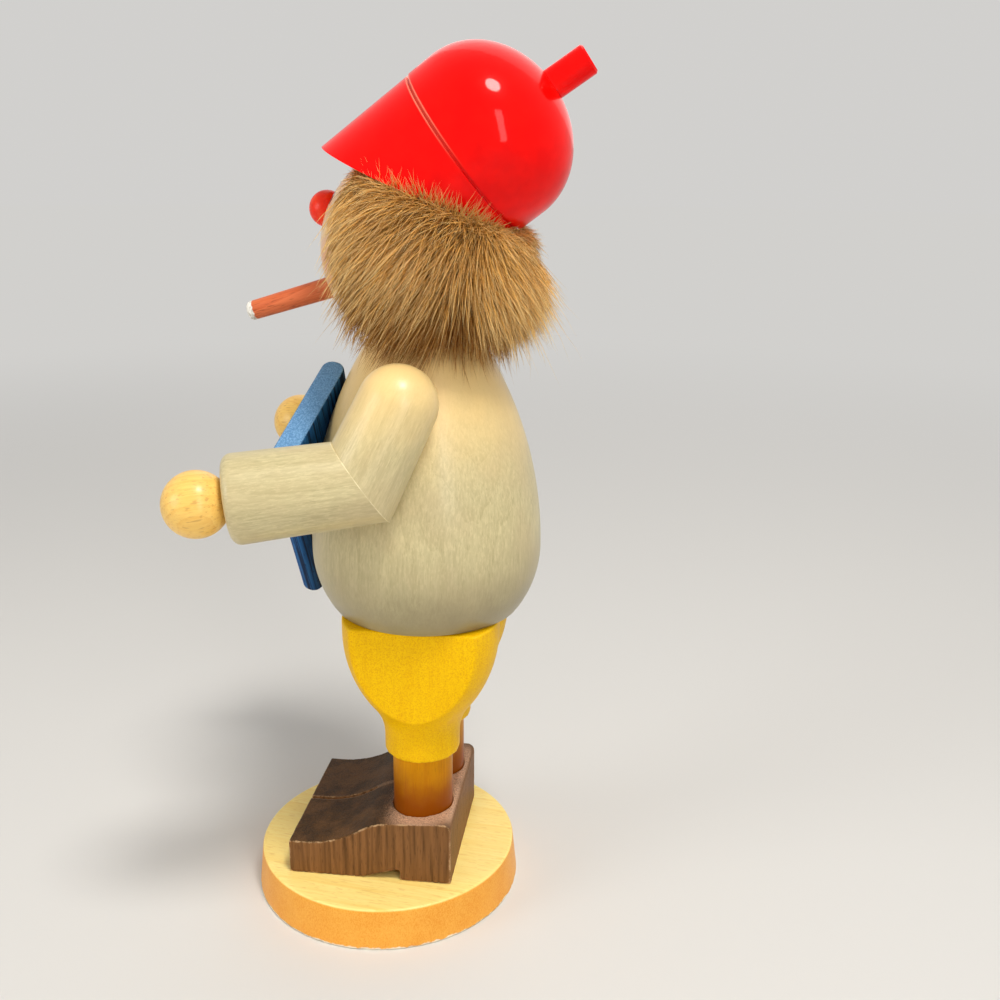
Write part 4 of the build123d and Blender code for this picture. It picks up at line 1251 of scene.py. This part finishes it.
grow_hair = strand_tree()
tree_items = grow_hair.interface.items_tree
socket_of = {item.name: item.identifier for item in tree_items if item.in_out == "INPUT"}
strand_values = ("Hairs per square metre", "Seed", "Length", "Uneven length", "Thickness", "Straying")
strand_values += ("Tufting", "Points", "Darkest", "Palest")
millimetre_values = ("Length", "Thickness")

# Each coat of hair: the hide that it grows from, then the strand values in their order
coats = {
    "fur_under_1": (strip_source, 1.3e6, 11, 9.5, 0.40, 0.085, 0.34, 0.26, 6, 0.0, 0.5),
    "fur_under_2": (strip_source, 1.3e6, 12, 10.5, 0.40, 0.085, 0.34, 0.26, 6, 0.05, 0.6),
    "fur_under_3": (strip_source, 1.3e6, 13, 11.0, 0.35, 0.085, 0.32, 0.26, 6, 0.15, 0.75),
    "fur_under_4": (strip_source, 1.3e6, 14, 11.5, 0.35, 0.085, 0.32, 0.26, 6, 0.2, 0.85),
    "fur_guard": (strip_source, 9.0e5, 21, 13.0, 0.40, 0.145, 0.34, 0.1, 7, 0.5, 1.0),
    "fur_fringe": (fringe_source, 6.0e6, 41, 6.0, 0.55, 0.085, 0.55, 0.1, 7, 0.2, 0.9),
    "fur_stray": (strip_source, 7.0e4, 31, 16.0, 0.50, 0.075, 0.50, 0.0, 9, 0.5, 1.0),
}
for coat, (source, *values) in coats.items():
    grower = source.modifiers.new(coat, "NODES")
    grower.node_group = grow_hair
    for label, value in zip(strand_values, values):
        grower[socket_of[label]] = value * MM if label in millimetre_values else value
    grower[socket_of["Finish"]] = fur_finish.material
    hair_mesh = finished_mesh(source, coat)
    source.modifiers.remove(grower)
    hair_piece = new_piece(coat, hair_mesh, fur_finish.material)
    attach(hair_piece, "figure")
bpy.data.objects.remove(strip_source)
bpy.data.objects.remove(fringe_source)

# Studio
# A pale floor and sky, a round lamp overhead, a tall strip, and weak lamps in front and on the far side.
# The camera stands where the photograph was taken.
floor_radius_mm = 4000
floor_thick_mm = 2
floor_turns = 96
floor_fade = (0.15, 1.0)
floor_edge = [(floor_radius_mm, -floor_thick_mm), (floor_radius_mm, 0)]
floor_mesh = turned_mesh("floor", [(0, -floor_thick_mm), *floor_edge, (0, 0)], floor_turns)
floor_finish = Finish("pale_floor")
floor_finish.set(Base_Color=(0.70, 0.69, 0.67, 1), Roughness=0.85)
backdrop = (0.64, 0.63, 0.61, 1)


def seen_directly(tree):
    """1 for a ray that shows the backdrop to the camera or in a reflection, 0 for other light."""
    path = tree.nodes.new("ShaderNodeLightPath")
    kinds = ("Is Camera Ray", "Is Glossy Ray", "Is Transmission Ray")
    camera_ray, glossy_ray, clear_ray = (Wire(tree, path.outputs[kind]) for kind in kinds)
    return (camera_ray + glossy_ray + clear_ray).math("MINIMUM", 1.0)


floor_far = floor_finish.place.length().step(*floor_fade)
floor_glow = floor_far.node("ShaderNodeEmission", None, {"Color": backdrop})
floor_lit = Wire(floor_finish.tree, floor_finish.shader.outputs[0])
floor_seen = floor_far * seen_directly(floor_finish.tree)
floor_shades = {0: floor_seen, 1: floor_lit, 2: floor_glow}
floor_surface = floor_far.node("ShaderNodeMixShader", None, floor_shades)
floor_end = floor_finish.tree.nodes["Material Output"]
floor_finish.tree.links.new(floor_surface.socket, floor_end.inputs["Surface"])
floor = new_piece("floor", floor_mesh, floor_finish.material)

sky_strength = 0.30
sky = bpy.data.worlds.new("pale_sky")
bpy.context.scene.world = sky
sky.use_nodes = True
sky_sockets = sky.node_tree.nodes["Background"].inputs
sky_sockets["Color"].default_value = (1.0, 0.985, 0.96, 1)
sky_level = seen_directly(sky.node_tree) * (backdrop[0] - sky_strength) + sky_strength
sky.node_tree.links.new(sky_level.socket, sky_sockets["Strength"])

figure_middle = Vector((0, 0.012, 0.12))


def soft_lamp(name, place, shape, width, height, watts, tint):
    """A soft lamp that points at the middle of the figure."""
    lamp = bpy.data.lights.new(name, "AREA")
    lamp.shape = shape
    lamp.size = width
    lamp.size_y = height
    lamp.energy = watts
    lamp.color = tint
    holder = bpy.data.objects.new(name, lamp)
    holder.location = place
    holder.rotation_euler = (figure_middle - Vector(place)).to_track_quat("-Z", "Y").to_euler()
    bpy.context.scene.collection.objects.link(holder)


soft_lamp("key_lamp", (0.31, 0.29, 1.03), "DISK", 0.26, 0.26, watts=7.3, tint=(1.0, 0.97, 0.92))
soft_lamp("strip_lamp", (0.74, 0.46, 0.42), "RECTANGLE", 0.15, 0.60, watts=2.2, tint=(1.0, 0.98, 0.95))
soft_lamp("front_lamp", (0.42, -0.60, 0.34), "DISK", 0.40, 0.40, watts=1.9, tint=(1.0, 0.97, 0.93))
soft_lamp("far_lamp", (-0.80, 0.14, 0.66), "DISK", 1.10, 1.10, watts=2.0, tint=(1.0, 0.98, 0.96))

camera_place = Vector((0.28190, 0.06603, 0.20241))
camera_yaw = 0.121
camera_pitch = 0.301
camera_roll = 0.008
ahead = way_out(camera_yaw - pi / 2, -camera_pitch)
level_right = ahead.cross(Vector((0, 0, 1))).normalized()
level_up = level_right.cross(ahead)
right = level_right * cos(camera_roll) + level_up * sin(camera_roll)
up = level_up * cos(camera_roll) - level_right * sin(camera_roll)
lens = bpy.data.cameras.new("camera")
lens.sensor_width = 36.0
lens.lens = 40.95
lens.clip_start = 0.01
camera = bpy.data.objects.new("camera", lens)
turn = Matrix((right, up, -ahead)).transposed()
camera.matrix_world = Matrix.Translation(camera_place) @ turn.to_4x4()
bpy.context.scene.collection.objects.link(camera)
bpy.context.scene.camera = camera
bpy.context.scene.view_settings.view_transform = "Standard"
